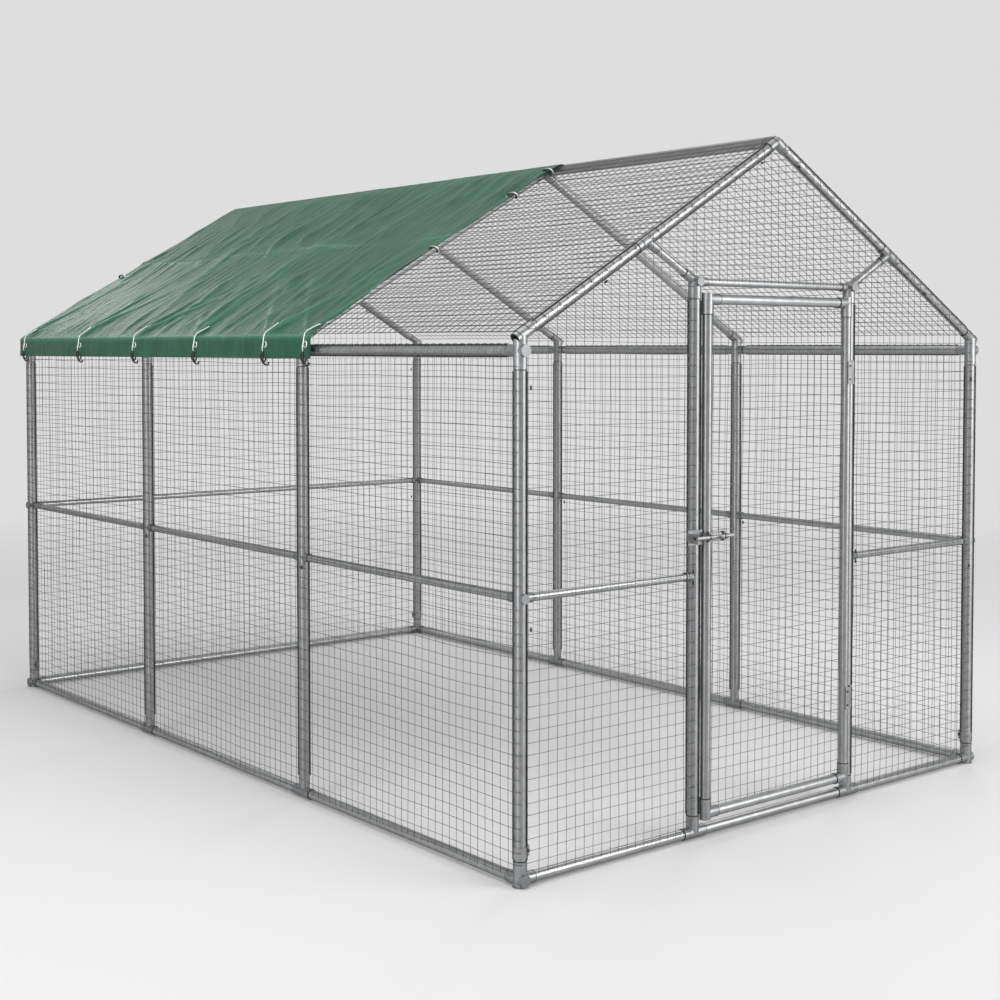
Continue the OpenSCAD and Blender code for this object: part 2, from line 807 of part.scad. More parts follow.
// Upright sleeve with a flat end and a side branch at each corner of the door
module door_corner_sleeves()
    color(zinc_bright)
        for (side = [-1, 1], end = [[door_low_z, 1], [door_high_z, -1]])
            translate([side * stile_x, door_y, end[0]])
                difference() {
                    union() {
                        rod(
                            [0, 0, -end[1] * (sleeve_r(door_d) + door_sleeve_past)],
                            [0, 0, end[1] * sleeve_reach],
                            sleeve_r(door_d)
                        );
                        rod([0, 0, 0], [-side * sleeve_reach, 0, 0], sleeve_r(door_d));
                    }
                    rod([0, 0, end[1] * tube_stop], [0, 0, end[1] * (sleeve_reach + over)], bore_r(door_d));
                    rod([-side * tube_stop, 0, 0], [-side * (sleeve_reach + over), 0, 0], bore_r(door_d));
                }

module door_mesh()
    color(wire_grey)
        translate([0, door_y + wire_d / 2, 0])
            rotate([90, 0, 0])
                box_net(
                    door_net_in - stile_x,
                    door_low_z + door_net_in,
                    stile_x - door_net_in,
                    door_high_z - door_net_in,
                    front_pitch
                );

// Hinges: heights of their middles, and the face of the post that a leaf lies on
hinge_heights = [base_z + low_hinge_h, lintel_z - high_hinge_drop];
post_leaf_y = -half_l - post_d / 2 - lay_gap;
door_knuckle_l = hinge_l - 2 * (post_knuckle_l + knuckle_gap);

module knuckle(z, h)
    difference() {
        translate([hinge_x, hinge_y, z]) cylinder(h = h, r = knuckle_r);
        translate([hinge_x, hinge_y, z - over]) cylinder(h = h + 2 * over, r = pin_r + pin_gap);
    }

// Plan of the bent leaf between the knuckle and the front of the post
module post_leaf_plan() {
    bend_x = door_post_x - post_leaf_w / 2;
    difference() {
        polygon([
            [hinge_x, hinge_y + knuckle_r - leaf_t], [hinge_x, hinge_y + knuckle_r],
            [bend_x - leaf_bend, hinge_y + knuckle_r], [bend_x, post_leaf_y],
            [door_post_x + post_leaf_w / 2, post_leaf_y],
            [door_post_x + post_leaf_w / 2, post_leaf_y - leaf_t],
            [bend_x, post_leaf_y - leaf_t],
            [bend_x - leaf_bend, hinge_y + knuckle_r - leaf_t]
        ]);
        translate([hinge_x, hinge_y]) circle(r = pin_r + pin_gap);
    }
}

module hinge_post_leaves()
    color(zinc_dark)
        for (z = hinge_heights)
            difference() {
                union()
                    for (end = [-hinge_l / 2, hinge_l / 2 - post_knuckle_l]) {
                        knuckle(z + end, post_knuckle_l);
                        translate([0, 0, z + end]) linear_extrude(post_knuckle_l) post_leaf_plan();
                        translate([door_post_x - post_leaf_w / 2, post_leaf_y - leaf_t, z - hinge_l / 2])
                            cube([post_leaf_w, leaf_t, hinge_l]);
                    }
                for (way = [-1, 1])
                    rod(
                        [door_post_x, post_leaf_y - leaf_t - over, z + way * rivet_z],
                        [door_post_x, post_leaf_y + over, z + way * rivet_z],
                        rivet_r + rivet_gap
                    );
            }

// Leaf on the front of the stile, which ends beside its knuckle
module hinge_door_leaves()
    color(zinc_dark)
        for (z = hinge_heights)
            difference() {
                union() {
                    knuckle(z - door_knuckle_l / 2, door_knuckle_l);
                    translate([hinge_x - knuckle_r - door_leaf_w, hinge_y - knuckle_r, z - hinge_l / 2])
                        cube([door_leaf_w - knuckle_gap, leaf_t, hinge_l]);
                    translate([hinge_x - door_leaf_w, hinge_y - knuckle_r, z - door_knuckle_l / 2])
                        cube([door_leaf_w, leaf_t, door_knuckle_l]);
                }
                translate([hinge_x, hinge_y, z - door_knuckle_l])
                    cylinder(h = 2 * door_knuckle_l, r = pin_r + pin_gap);
                for (way = [-1, 1])
                    rod(
                        [stile_x, hinge_y - knuckle_r - over, z + way * rivet_z],
                        [stile_x, hinge_y - knuckle_r + leaf_t + over, z + way * rivet_z],
                        rivet_r + rivet_gap
                    );
            }

module hinge_pins()
    color(zinc_bright)
        for (z = hinge_heights)
            translate([hinge_x, hinge_y, z - hinge_l / 2]) {
                cylinder(h = hinge_l, r = pin_r);
                translate([0, 0, hinge_l]) cylinder(h = pin_head_t, r = pin_head_r);
            }

module door_screws()
    color(zinc_dark)
        for (z = hinge_heights, way = [-1, 1])
            rivet([stile_x, hinge_y - knuckle_r, z + way * rivet_z], [0, 1, 0], leaf_t);

// Keeper: a band round the door post with a plate in front and an ear that the bolt enters
module latch_keeper()
    color(zinc_dark)
        translate([-door_post_x, -half_l, bolt_z])
            difference() {
                plate_y = -end_net_off - wire_d - lay_gap;
                ear_y = bolt_y + half_l - guide_r - keeper_ear_lap;
                union() {
                    translate([0, 0, -band_h / 2]) cylinder(h = band_h, r = bore_r(post_d) + strap_t);
                    translate([-keeper_spacer_w / 2, plate_y, -band_h / 2])
                        cube([keeper_spacer_w, -plate_y, band_h]);
                    translate([-keeper_left, plate_y - strap_t, -keeper_plate_h / 2])
                        cube([keeper_left + keeper_right, strap_t, keeper_plate_h]);
                    translate([-keeper_left, ear_y, -keeper_ear_h / 2])
                        cube([strap_t, plate_y - ear_y, keeper_ear_h]);
                }
                translate([0, 0, -keeper_plate_h]) cylinder(h = 2 * keeper_plate_h, r = bore_r(post_d));
                rod(
                    [-keeper_left - over, bolt_y + half_l, 0],
                    [strap_t + over - keeper_left, bolt_y + half_l, 0],
                    bolt_r + keeper_hole_gap
                );
            }

// Bracket: a band round the stile with a guide on it, and two fingers that carry a second guide
module latch_bracket()
    color(zinc_dark)
        translate([-stile_x, door_y, bolt_z])
            difference() {
                band_front = -bore_r(door_d) - strap_t;
                union() {
                    translate([0, 0, -band_h / 2]) cylinder(h = band_h, r = bore_r(door_d) + strap_t);
                    for (x = [near_guide_x, far_guide_x]) {
                        rod([x, -bolt_out, 0], [x + guide_l, -bolt_out, 0], guide_r);
                        translate([x, -bolt_out, -guide_r - finger_h])
                            cube([guide_l, bolt_out + band_front + strap_t, 2 * (guide_r + finger_h)]);
                    }
                    for (z = [-guide_r - finger_h, guide_r])
                        translate([near_guide_x, band_front, z])
                            cube([far_guide_x - near_guide_x + guide_l, strap_t, finger_h]);
                }
                translate([0, 0, -band_h]) cylinder(h = 2 * band_h, r = bore_r(door_d));
                rod(
                    [near_guide_x - over, -bolt_out, 0],
                    [far_guide_x + guide_l + over, -bolt_out, 0],
                    bolt_r + bolt_gap
                );
            }

// Tubular bolt, open at both ends, with a finger pin
module latch_bolt()
    color(zinc_bright)
        translate([-stile_x, bolt_y, bolt_z])
            difference() {
                union() {
                    rod([bolt_tip_x, 0, 0], [bolt_tip_x + bolt_l, 0, 0], bolt_r);
                    rod([bolt_pin_x, 0, 0], [bolt_pin_x, -bolt_r - bolt_pin_l, 0], bolt_pin_r);
                    translate([bolt_pin_x, -bolt_r - bolt_pin_l, 0]) sphere(r = bolt_knob_r);
                }
                rod([bolt_tip_x - over, 0, 0], [bolt_tip_x + bolt_l + over, 0, 0], bolt_r - bolt_wall);
            }

// Height of the sheet's folds at a share of the slope and of the length
function folds(slope_share, length_share) =
    sin(180 * slope_share) * sin(180 * length_share) * (
        wrinkle_h * (1 + sin(360 * wrinkle_waves * (length_share + wrinkle_slant_share * slope_share))) / 2
        + (abs(slope_share - crease_share) * slope_steps < 1 / 2 ? crease_h : 0)
    );

// Point of the sheet. Station i is 0 at the ridge, positive on the lap past it, and negative
// down the left slope and the valance. Layer 0 is the inside and layer 1 the outside.
function tarp_point(i, j, layer) =
    let(
        length_share = j / length_steps,
        lap_share = max(0, i) / lap_steps,
        slope_share = min(max(0, -i), slope_steps) / slope_steps,
        drop_share = max(0, -i - slope_steps) / valance_steps,
        reach = lap_share * ridge_lap * cos(pitch_angle) - slope_share * fold_x,
        lift = tarp_rest + layer * tarp_t + folds(slope_share, length_share),
        out = slope_share < 1 ? 0 : layer * tarp_t
    )
    [
        reach - out,
        tarp_front_y + length_share * tarp_l,
        apex_z + lift / cos(pitch_angle) - abs(reach) * tan(pitch_angle) - drop_share * valance_h
    ];

module tarpaulin() {
    side_steps = slope_steps + valance_steps;
    stations = side_steps + lap_steps;
    rows = length_steps + 1;
    layer_size = (stations + 1) * rows;
    points = [
        for (layer = [0, 1], i = [-side_steps : lap_steps], j = [0 : length_steps])
            tarp_point(i, j, layer)
    ];
    // Two triangles for each quad of the outer layer, the inner layer and the four edges
    quads = concat(
        [for (i = [0 : stations - 1], j = [0 : length_steps - 1])
            [layer_size + i * rows + j, layer_size + i * rows + j + 1,
                layer_size + (i + 1) * rows + j + 1, layer_size + (i + 1) * rows + j]],
        [for (i = [0 : stations - 1], j = [0 : length_steps - 1])
            [i * rows + j, (i + 1) * rows + j, (i + 1) * rows + j + 1, i * rows + j + 1]],
        [for (i = [0 : stations - 1])
            [i * rows, layer_size + i * rows, layer_size + (i + 1) * rows, (i + 1) * rows]],
        [for (i = [0 : stations - 1])
            [(i + 1) * rows + length_steps, layer_size + (i + 1) * rows + length_steps,
                layer_size + i * rows + length_steps, i * rows + length_steps]],
        [for (j = [0 : length_steps - 1]) [j + 1, layer_size + j + 1, layer_size + j, j]],
        [for (j = [0 : length_steps - 1])
            [stations * rows + j, layer_size + stations * rows + j,
                layer_size + stations * rows + j + 1, stations * rows + j + 1]]
    );
    color(tarp_green)
        polyhedron(
            points = points,
            faces = [for (q = quads, half = [0, 1]) half == 0 ? [q[0], q[1], q[2]] : [q[0], q[2], q[3]]]
        );
}

module eyelet()
    difference() {
        cylinder(h = eyelet_t, r = eyelet_r);
        translate([0, 0, -over]) cylinder(h = eyelet_t + 2 * over, r = eyelet_r * eyelet_hole_share);
    }

eyelet_x = fold_x + tarp_t + eyelet_lay;

// Place on the left slope under an eyelet, at a share of the way from the ridge to the fold
module at_slope_eyelet(y, share)
    translate([-share * fold_x, y, apex_z - share * fold_x * tan(pitch_angle)])
        rotate([0, -pitch_angle, 0])
            translate([0, 0, tarp_rest + tarp_t + eyelet_lay])
                children();

module tarp_eyelets()
    color("silver") {
        for (share = eyelet_y_shares)
            translate([-eyelet_x, tarp_front_y + share * tarp_l, fold_z - eyelet_drop])
                rotate([0, -90, 0])
                    eyelet();
        for (share = front_eyelet_shares)
            at_slope_eyelet(tarp_front_y + eyelet_edge, share) eyelet();
        for (share = back_eyelet_shares)
            at_slope_eyelet(tarp_back_y - eyelet_edge, share) eyelet();
    }

// Bent hook from a slope's eyelet out past the sheet's edge and down to the net
module slope_hook(way) {
    foot = eyelet_t + eyelet_lay + tarp_t;
    bar_l = eyelet_r / 2 + eyelet_edge + hook_past;
    mirror([0, way < 0 ? 1 : 0, 0])
        translate([-hook_d / 2, -eyelet_r / 2, eyelet_t + lay_gap]) {
            cube([hook_d, bar_l, hook_d]);
            translate([0, bar_l - hook_d, -foot]) cube([hook_d, hook_d, foot + hook_d]);
        }
}

// Bent hook from an eyelet down round the valance's lower edge, drawn across the run
module hook_outline(outer_x, inner_x) {
    middle_x = (outer_x + inner_x) / 2;
    curl_r = (outer_x - inner_x) / 2;
    translate([outer_x - hook_d / 2, 0])
        square([hook_d, valance_h + hook_dip - eyelet_drop + eyelet_r / 2]);
    translate([inner_x - hook_d / 2, 0])
        square([hook_d, hook_dip + hook_end]);
    difference() {
        translate([middle_x, 0]) circle(r = curl_r + hook_d / 2);
        translate([middle_x, 0]) circle(r = curl_r - hook_d / 2);
        translate([middle_x - 2 * curl_r, 0]) square([4 * curl_r, 2 * curl_r]);
    }
}

module tarp_hooks()
    color("silver") {
        for (share = front_eyelet_shares)
            at_slope_eyelet(tarp_front_y + eyelet_edge, share) slope_hook(-1);
        for (share = back_eyelet_shares)
            at_slope_eyelet(tarp_back_y - eyelet_edge, share) slope_hook(1);
        for (share = eyelet_y_shares)
            translate([0, tarp_front_y + share * tarp_l + hook_d / 2, fold_z - valance_h - hook_dip])
                mirror([1, 0, 0])
                    rotate([90, 0, 0])
                        linear_extrude(hook_d)
                            hook_outline(
                                eyelet_x + eyelet_t + lay_gap + hook_d / 2,
                                (fold_x + half_w + side_net_off + wire_d) / 2
                            );
    }

post_front_left();
post_front_right();
post_back_right();
post_back_left();
side_posts_left();
side_posts_right();
door_post_left();
door_post_right();
base_rails_left();
base_rails_right();
base_rail_back();
base_rails_front();
door_sill();
mid_rails_left();
mid_rails_right();
mid_rail_back();
mid_rails_front();
eave_rails_left();
eave_rails_right();
ridge_tubes();
rafters_front();
rafters_inner();
rafters_back();
lintel();
lintel_struts();
base_corner_fittings();
door_post_base_tees();
eave_corner_fittings();
eave_side_fittings();
apex_end_fittings();
apex_inner_fittings();
lintel_corner_fittings();
strut_tees();
end_plugs();
foot_plugs();
post_band_clamps();
frame_screws();
mesh_left();
mesh_right();
mesh_back();
mesh_front_left();
mesh_front_right();
mesh_front_gable();
mesh_roof_left();
mesh_roof_right();
door_stiles();
door_rails();
door_corner_sleeves();
door_mesh();
hinge_post_leaves();
hinge_door_leaves();
hinge_pins();
door_screws();
latch_keeper();
latch_bracket();
latch_bolt();
tarpaulin();
tarp_eyelets();
tarp_hooks();
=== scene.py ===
"""Walk-in chicken run in a plain studio: zinc-coated tubes, full wire mesh and a creased tarpaulin."""

import json
import math

import bpy
import numpy as np
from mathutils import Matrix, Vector

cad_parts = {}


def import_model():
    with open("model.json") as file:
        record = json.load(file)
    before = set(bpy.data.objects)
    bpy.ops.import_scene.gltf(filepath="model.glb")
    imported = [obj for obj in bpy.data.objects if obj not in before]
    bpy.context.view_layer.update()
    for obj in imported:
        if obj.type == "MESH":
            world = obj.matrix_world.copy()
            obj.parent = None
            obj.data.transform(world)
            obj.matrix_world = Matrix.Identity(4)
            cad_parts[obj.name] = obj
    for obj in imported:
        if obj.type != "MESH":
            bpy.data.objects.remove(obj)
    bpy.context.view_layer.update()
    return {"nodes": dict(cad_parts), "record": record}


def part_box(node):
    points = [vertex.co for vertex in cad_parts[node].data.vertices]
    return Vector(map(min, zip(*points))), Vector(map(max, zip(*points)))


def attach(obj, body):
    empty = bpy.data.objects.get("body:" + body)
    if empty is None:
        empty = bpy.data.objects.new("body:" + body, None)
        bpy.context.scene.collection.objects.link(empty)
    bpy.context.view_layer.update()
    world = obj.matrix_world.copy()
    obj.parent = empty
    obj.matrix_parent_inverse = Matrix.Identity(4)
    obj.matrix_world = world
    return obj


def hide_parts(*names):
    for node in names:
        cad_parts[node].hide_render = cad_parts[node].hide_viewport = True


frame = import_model()


def middle(name):
    low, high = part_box(name)
    return (np.array(low) + np.array(high)) / 2


# Sizes of the frame, in metres, most of them measured on its nodes
HALF_W = middle("base_rails_right")[0]
HALF_L = middle("base_rail_back")[1]
BASE_Z = middle("base_rail_back")[2]
MID_Z = middle("mid_rail_back")[2]
EAVE_Z = middle("eave_rails_left")[2]
LINTEL_Z = middle("lintel")[2]
APEX_Z = middle("ridge_tubes")[2]
BOLT_Z = middle("latch_bolt")[2]
HINGE_HALF = 0.033
HINGE_ZS = [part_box("hinge_pins")[0][2] + HINGE_HALF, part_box("hinge_pins")[1][2] - HINGE_HALF]
HINGE_X, HINGE_Y = middle("hinge_pins")[:2]
TUBE_STOP = 0.018
DOOR_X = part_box("lintel")[1][0] + TUBE_STOP
SIDE_X = middle("mesh_right")[0]
END_Y = middle("mesh_back")[1]
BAYS = 3
BAY = 2 * HALF_L / BAYS
FRAME_YS = -HALF_L + BAY * np.arange(BAYS + 1)
INNER_YS = FRAME_YS[1:-1]

# Radii of the tubes, and how far the sleeves reach from the points where the tubes' axes meet
POST_R = 0.016
RAIL_R = 0.014
THIN_R = 0.011
SLEEVE = 0.040
POST_SLEEVE = 0.046
MID_SLEEVE = 0.034

# The roof: a rafter's axis passes above the eave rail's, and the nets lie on the rafters' sleeves
RAFTER_LIFT = 0.038
PITCH = math.atan2(APEX_Z - EAVE_Z - RAFTER_LIFT, HALF_W)
RAFTER_L = math.hypot(APEX_Z - EAVE_Z - RAFTER_LIFT, HALF_W)
ROOF_OFF = 0.0168


def up_slope(side):
    return np.array([-side * math.cos(PITCH), 0, math.sin(PITCH)])


def on_rafter(side, y, s, off=0.0):
    """Point at a distance s up a rafter from the eave, off its axis by some height."""
    normal = np.array([side * math.sin(PITCH), 0, math.cos(PITCH)])
    return np.array([side * HALF_W, y, EAVE_Z + RAFTER_LIFT]) + s * up_slope(side) + off * normal


# Shapes
def smooth(mesh):
    mesh.polygons.foreach_set("use_smooth", np.ones(len(mesh.polygons), dtype=bool))
    mesh.update()


def piece(name, verts, faces, material, slot, body="frame"):
    mesh = bpy.data.meshes.new(name)
    mesh.from_pydata(np.asarray(verts).tolist(), [], faces)
    smooth(mesh)
    mesh.materials.append(material)
    obj = bpy.data.objects.new(name, mesh)
    bpy.context.collection.objects.link(obj)
    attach(obj, body)
    return obj


# A direction that no wire of the run lies along, to set the wires' cross-sections from
AWRY = np.array([0.48, 0.64, 0.6])


def swept(lines, radius, sides=5):
    """Vertices and faces of round wires along lists of points."""
    verts = []
    faces = []
    start = 0
    turn = np.arange(sides) * 2 * math.pi / sides
    ring = np.arange(sides)
    for line in lines:
        line = np.asarray(line, dtype=float)
        way = np.gradient(line, axis=0)
        way /= np.linalg.norm(way, axis=1, keepdims=True)
        side = np.cross(way, AWRY)
        side /= np.linalg.norm(side, axis=1, keepdims=True)
        up = np.cross(side, way)
        around = side[:, None] * np.cos(turn)[None, :, None] + up[:, None] * np.sin(turn)[None, :, None]
        verts.append((line[:, None] + radius * around).reshape(-1, 3))
        steps = np.arange(len(line) - 1)[:, None] * sides + start
        a = steps + ring
        b = steps + (ring + 1) % sides
        faces.extend(np.stack([a, a + sides, b + sides, b], axis=-1).reshape(-1, 4).tolist())
        faces.append((start + ring).tolist())
        faces.append((start + (len(line) - 1) * sides + ring)[::-1].tolist())
        start += len(line) * sides
    return np.concatenate(verts), faces


def torus(centre, normal, ring_r, wire, flat, turns=24, sides=10):
    """A rolled ring whose wire is flattened or stretched along its axis."""
    axis = Vector(normal).to_track_quat("Z", "Y").to_matrix()
    verts = []
    for i in range(turns):
        a = 2 * math.pi * i / turns
        for j in range(sides):
            b = 2 * math.pi * j / sides
            r = ring_r + wire * math.cos(b)
            spot = Vector((r * math.cos(a), r * math.sin(a), flat * wire * math.sin(b)))
            verts.append(axis @ spot + Vector(centre))
    faces = []
    for i in range(turns):
        for j in range(sides):
            k = (i + 1) % turns
            m = (j + 1) % sides
            faces.append([i * sides + j, k * sides + j, k * sides + m, i * sides + m])
    return verts, faces


def joined(parts):
    verts = []
    faces = []
    for some, more in parts:
        start = len(verts)
        verts.extend([tuple(v) for v in some])
        faces.extend([[start + i for i in face] for face in more])
    return verts, faces


def curve(points, steps=6):
    """A smooth line through points."""
    points = [np.array(p, dtype=float) for p in points]
    points = [2 * points[0] - points[1]] + points + [2 * points[-1] - points[-2]]
    line = []
    for i in range(1, len(points) - 2):
        p0, p1, p2, p3 = points[i - 1:i + 3]
        for t in np.linspace(0, 1, steps, endpoint=False):
            line.append(0.5 * (2 * p1 + (p2 - p0) * t + (2 * p0 - 5 * p1 + 4 * p2 - p3) * t ** 2
                               + (3 * p1 - p0 - 3 * p2 + p3) * t ** 3))
    line.append(points[-2])
    return np.array(line)


def run(a, b, spacing=0.04):
    return np.linspace(a, b, max(2, int(round(abs(b - a) / spacing)) + 1))


def waves(seed, count, shortest, longest):
    """A smooth wavy field over a surface, from about -1 to 1."""
    rng = np.random.default_rng(seed)
    length = rng.uniform(shortest, longest, count)
    heading = rng.uniform(0, math.pi, count)
    phase = rng.uniform(0, 2 * math.pi, count)

    def field(u, v):
        total = 0
        for k in range(count):
            along = np.cos(heading[k]) * u + np.sin(heading[k]) * v
            total = total + np.sin(2 * math.pi * along / length[k] + phase[k])
        return total / math.sqrt(count)

    return field


# Materials. The numbers are the colour sockets of a mix node
MIX_A = 6
MIX_B = 7
MIX_RESULT = 2


def nodes_of(name):
    mat = bpy.data.materials.new(name)
    mat.use_nodes = True
    tree = mat.node_tree
    return mat, tree, tree.nodes["Principled BSDF"]


def node(tree, kind, **inputs):
    made = tree.nodes.new(kind)
    for key, value in inputs.items():
        made.inputs[key.replace("_", " ")].default_value = value
    return made


def colour_mix(tree, **inputs):
    made = node(tree, "ShaderNodeMix", **inputs)
    made.data_type = "RGBA"
    return made


def ramp(tree, low, high, dark, pale):
    made = tree.nodes.new("ShaderNodeValToRGB")
    made.color_ramp.elements[0].position = low
    made.color_ramp.elements[1].position = high
    made.color_ramp.elements[0].color = (*dark, 1)
    made.color_ramp.elements[1].color = (*pale, 1)
    return made


def spread(tree, source, low, high):
    made = node(tree, "ShaderNodeMapRange", To_Min=low, To_Max=high)
    tree.links.new(source, made.inputs["Value"])
    return made.outputs["Result"]


def zinc(name, dark, pale, rough, metallic=0.85, mottle=38, spangle=260, upright=False):
    """Galvanised steel: soft mottling, fine crystals and uneven gloss, drawn out along an upright tube."""
    mat, tree, shader = nodes_of(name)
    place = tree.nodes.new("ShaderNodeTexCoord").outputs["Object"]
    cloud = node(tree, "ShaderNodeTexNoise", Scale=mottle, Detail=4.0)
    flakes = node(tree, "ShaderNodeTexVoronoi", Scale=spangle)
    grain = node(tree, "ShaderNodeTexNoise", Scale=900.0, Detail=2.0)
    for texture in (cloud, flakes, grain):
        tree.links.new(place, texture.inputs["Vector"])
    mixed = colour_mix(tree, Factor=0.2)
    tree.links.new(cloud.outputs["Fac"], mixed.inputs[MIX_A])
    tree.links.new(flakes.outputs["Color"], mixed.inputs[MIX_B])
    tone = ramp(tree, low=0.25, high=0.75, dark=dark, pale=pale)
    tree.links.new(mixed.outputs[MIX_RESULT], tone.inputs["Fac"])
    tree.links.new(tone.outputs["Color"], shader.inputs["Base Color"])
    gloss = spread(tree, cloud.outputs["Fac"], low=rough - 0.04, high=rough + 0.06)
    tree.links.new(gloss, shader.inputs["Roughness"])
    bump = node(tree, "ShaderNodeBump", Strength=0.02, Distance=0.0003)
    tree.links.new(grain.outputs["Fac"], bump.inputs["Height"])
    tree.links.new(bump.outputs["Normal"], shader.inputs["Normal"])
    shader.inputs["Metallic"].default_value = metallic
    shader.inputs["Specular Tint"].default_value = (0.35, 0.35, 0.36, 1)
    if upright:
        around = tree.nodes.new("ShaderNodeTangent")
        around.direction_type = "RADIAL"
        around.axis = "Z"
        tree.links.new(around.outputs["Tangent"], shader.inputs["Tangent"])
        shader.inputs["Anisotropic"].default_value = 0.7
        shader.inputs["Anisotropic Rotation"].default_value = 0.25
    return mat


def woven(name, deep, light, wear_and_sheen):
    """Woven polyethylene: threads, a soft sheen, and creases painted paler, partly as wear and partly as
    painted sheen highlights.
    """
    mat, tree, shader = nodes_of(name)
    uv = tree.nodes.new("ShaderNodeTexCoord").outputs["UV"]
    cloud = node(tree, "ShaderNodeTexNoise", Scale=7.0, Detail=5.0, Roughness=0.6)
    tree.links.new(uv, cloud.inputs["Vector"])
    tone = ramp(tree, low=0.3, high=0.7, dark=deep, pale=light)
    tree.links.new(cloud.outputs["Fac"], tone.inputs["Fac"])
    # A paler colour on the creases and folds: partly wear, partly painted sheen highlights
    wear_sheen = tree.nodes.new("ShaderNodeAttribute")
    wear_sheen.attribute_name = "wear_and_sheen"
    mixed = colour_mix(tree)
    tree.links.new(wear_sheen.outputs["Fac"], mixed.inputs["Factor"])
    tree.links.new(tone.outputs["Color"], mixed.inputs[MIX_A])
    mixed.inputs[MIX_B].default_value = (*wear_and_sheen, 1)
    tree.links.new(mixed.outputs[MIX_RESULT], shader.inputs["Base Color"])
    threads = []
    for direction in ("X", "Y"):
        wave = node(tree, "ShaderNodeTexWave", Scale=110.0)
        wave.bands_direction = direction
        tree.links.new(uv, wave.inputs["Vector"])
        threads.append(wave.outputs["Fac"])
    cross = tree.nodes.new("ShaderNodeMath")
    cross.operation = "MULTIPLY"
    tree.links.new(threads[0], cross.inputs[0])
    tree.links.new(threads[1], cross.inputs[1])
    drawn = node(tree, "ShaderNodeMapping", Scale=(7.0, 26.0, 1.0))
    tree.links.new(uv, drawn.inputs["Vector"])
    crumple = node(tree, "ShaderNodeTexNoise", Scale=1.0, Detail=7.0, Roughness=0.64, Distortion=0.7)
    tree.links.new(drawn.outputs["Vector"], crumple.inputs["Vector"])
    fine = node(tree, "ShaderNodeBump", Strength=0.25, Distance=0.0005)
    tree.links.new(cross.outputs["Value"], fine.inputs["Height"])
    broad = node(tree, "ShaderNodeBump", Strength=0.6, Distance=0.010)
    tree.links.new(crumple.outputs["Fac"], broad.inputs["Height"])
    tree.links.new(fine.outputs["Normal"], broad.inputs["Normal"])
    tree.links.new(broad.outputs["Normal"], shader.inputs["Normal"])
    gloss = spread(tree, cloud.outputs["Fac"], low=0.32, high=0.44)
    tree.links.new(gloss, shader.inputs["Roughness"])
    shader.inputs["Specular IOR Level"].default_value = 0.18
    return mat


# Rails, rafters and the other tubes that are not upright take a zinc painted lighter than the posts' zinc,
# to make up for lamp highlights they catch less of
TUBE = zinc("tube_zinc_painted_lighter", (0.31, 0.315, 0.32), (0.44, 0.445, 0.45), 0.31)
POST = zinc("post_zinc", (0.225, 0.23, 0.235), (0.325, 0.33, 0.335), 0.37, upright=True)
FITTING = zinc("fitting_zinc", (0.23, 0.235, 0.24), (0.35, 0.355, 0.36), 0.38, mottle=70)
PLUG = zinc("plug_zinc", (0.17, 0.175, 0.18), (0.29, 0.295, 0.30), 0.46, metallic=0.75)
HARDWARE = zinc("hardware_zinc", (0.17, 0.17, 0.175), (0.28, 0.285, 0.29), 0.38, mottle=90)
WIRE = zinc("wire_zinc", (0.11, 0.11, 0.11), (0.19, 0.19, 0.19), 0.36, mottle=14)
TIE = zinc("tie_wire", (0.035, 0.035, 0.035), (0.09, 0.09, 0.09), 0.5, metallic=0.6)
SCREW = zinc("screw_dark", (0.05, 0.05, 0.05), (0.11, 0.11, 0.11), 0.4)
ROOF_WIRE = zinc("roof_wire_zinc", (0.055, 0.055, 0.055), (0.10, 0.10, 0.10), 0.45, metallic=0.6, mottle=14)
# Near-black rings and lines at sleeve mouths and hinges: partly grime, partly painted shade of the gaps
# there
SEAM = zinc("seam_grime_and_gap_shade", (0.014, 0.014, 0.014), (0.05, 0.05, 0.05), 0.7, metallic=0.2)
BRIGHT = zinc("bright_wire", (0.62, 0.62, 0.61), (0.76, 0.76, 0.75), 0.34)
BOLT = zinc("bolt_zinc", (0.25, 0.25, 0.255), (0.36, 0.365, 0.37), 0.32)
# The third colour is the paler tone of creases and folds, partly wear and partly painted sheen
SHEET = woven("green_sheet", (0.007, 0.064, 0.034), (0.018, 0.108, 0.060), (0.08, 0.23, 0.155))

BY_SLOT = {"tube": TUBE, "fitting": FITTING, "plug": PLUG, "hardware": HARDWARE}
BY_NODE = {
    "frame_screws": SCREW, "door_screws": SCREW, "latch_bolt": BOLT, "hinge_pins": BOLT,
    "hinge_post_leaves": BOLT, "hinge_door_leaves": BOLT, "post_band_clamps": BOLT,
}
UPRIGHT = ("post_", "side_posts", "door_post_", "door_stiles")
for part in frame["record"]["subparts"]:
    name = part["node"]
    slot = part["material_slot"]
    material = BY_NODE.get(name, BY_SLOT.get(slot))
    if slot == "tube" and name.startswith(UPRIGHT):
        material = POST
    if material:
        frame["nodes"][name].data.materials.clear()
        frame["nodes"][name].data.materials.append(material)

# Nets: their cells and wires, how far a wire slips out of true, and where the first ones lie
CELL = 0.030
WIRE_R = 0.00075
ROOF_WIRE_R = 0.0009
WELD = 0.0004
SLIP = 0.0016
FIRST_UPRIGHT = 0.004
FIRST_COURSE = 0.012
CORNER_GAP = 0.019
FOOT_Z = BASE_Z + 0.007


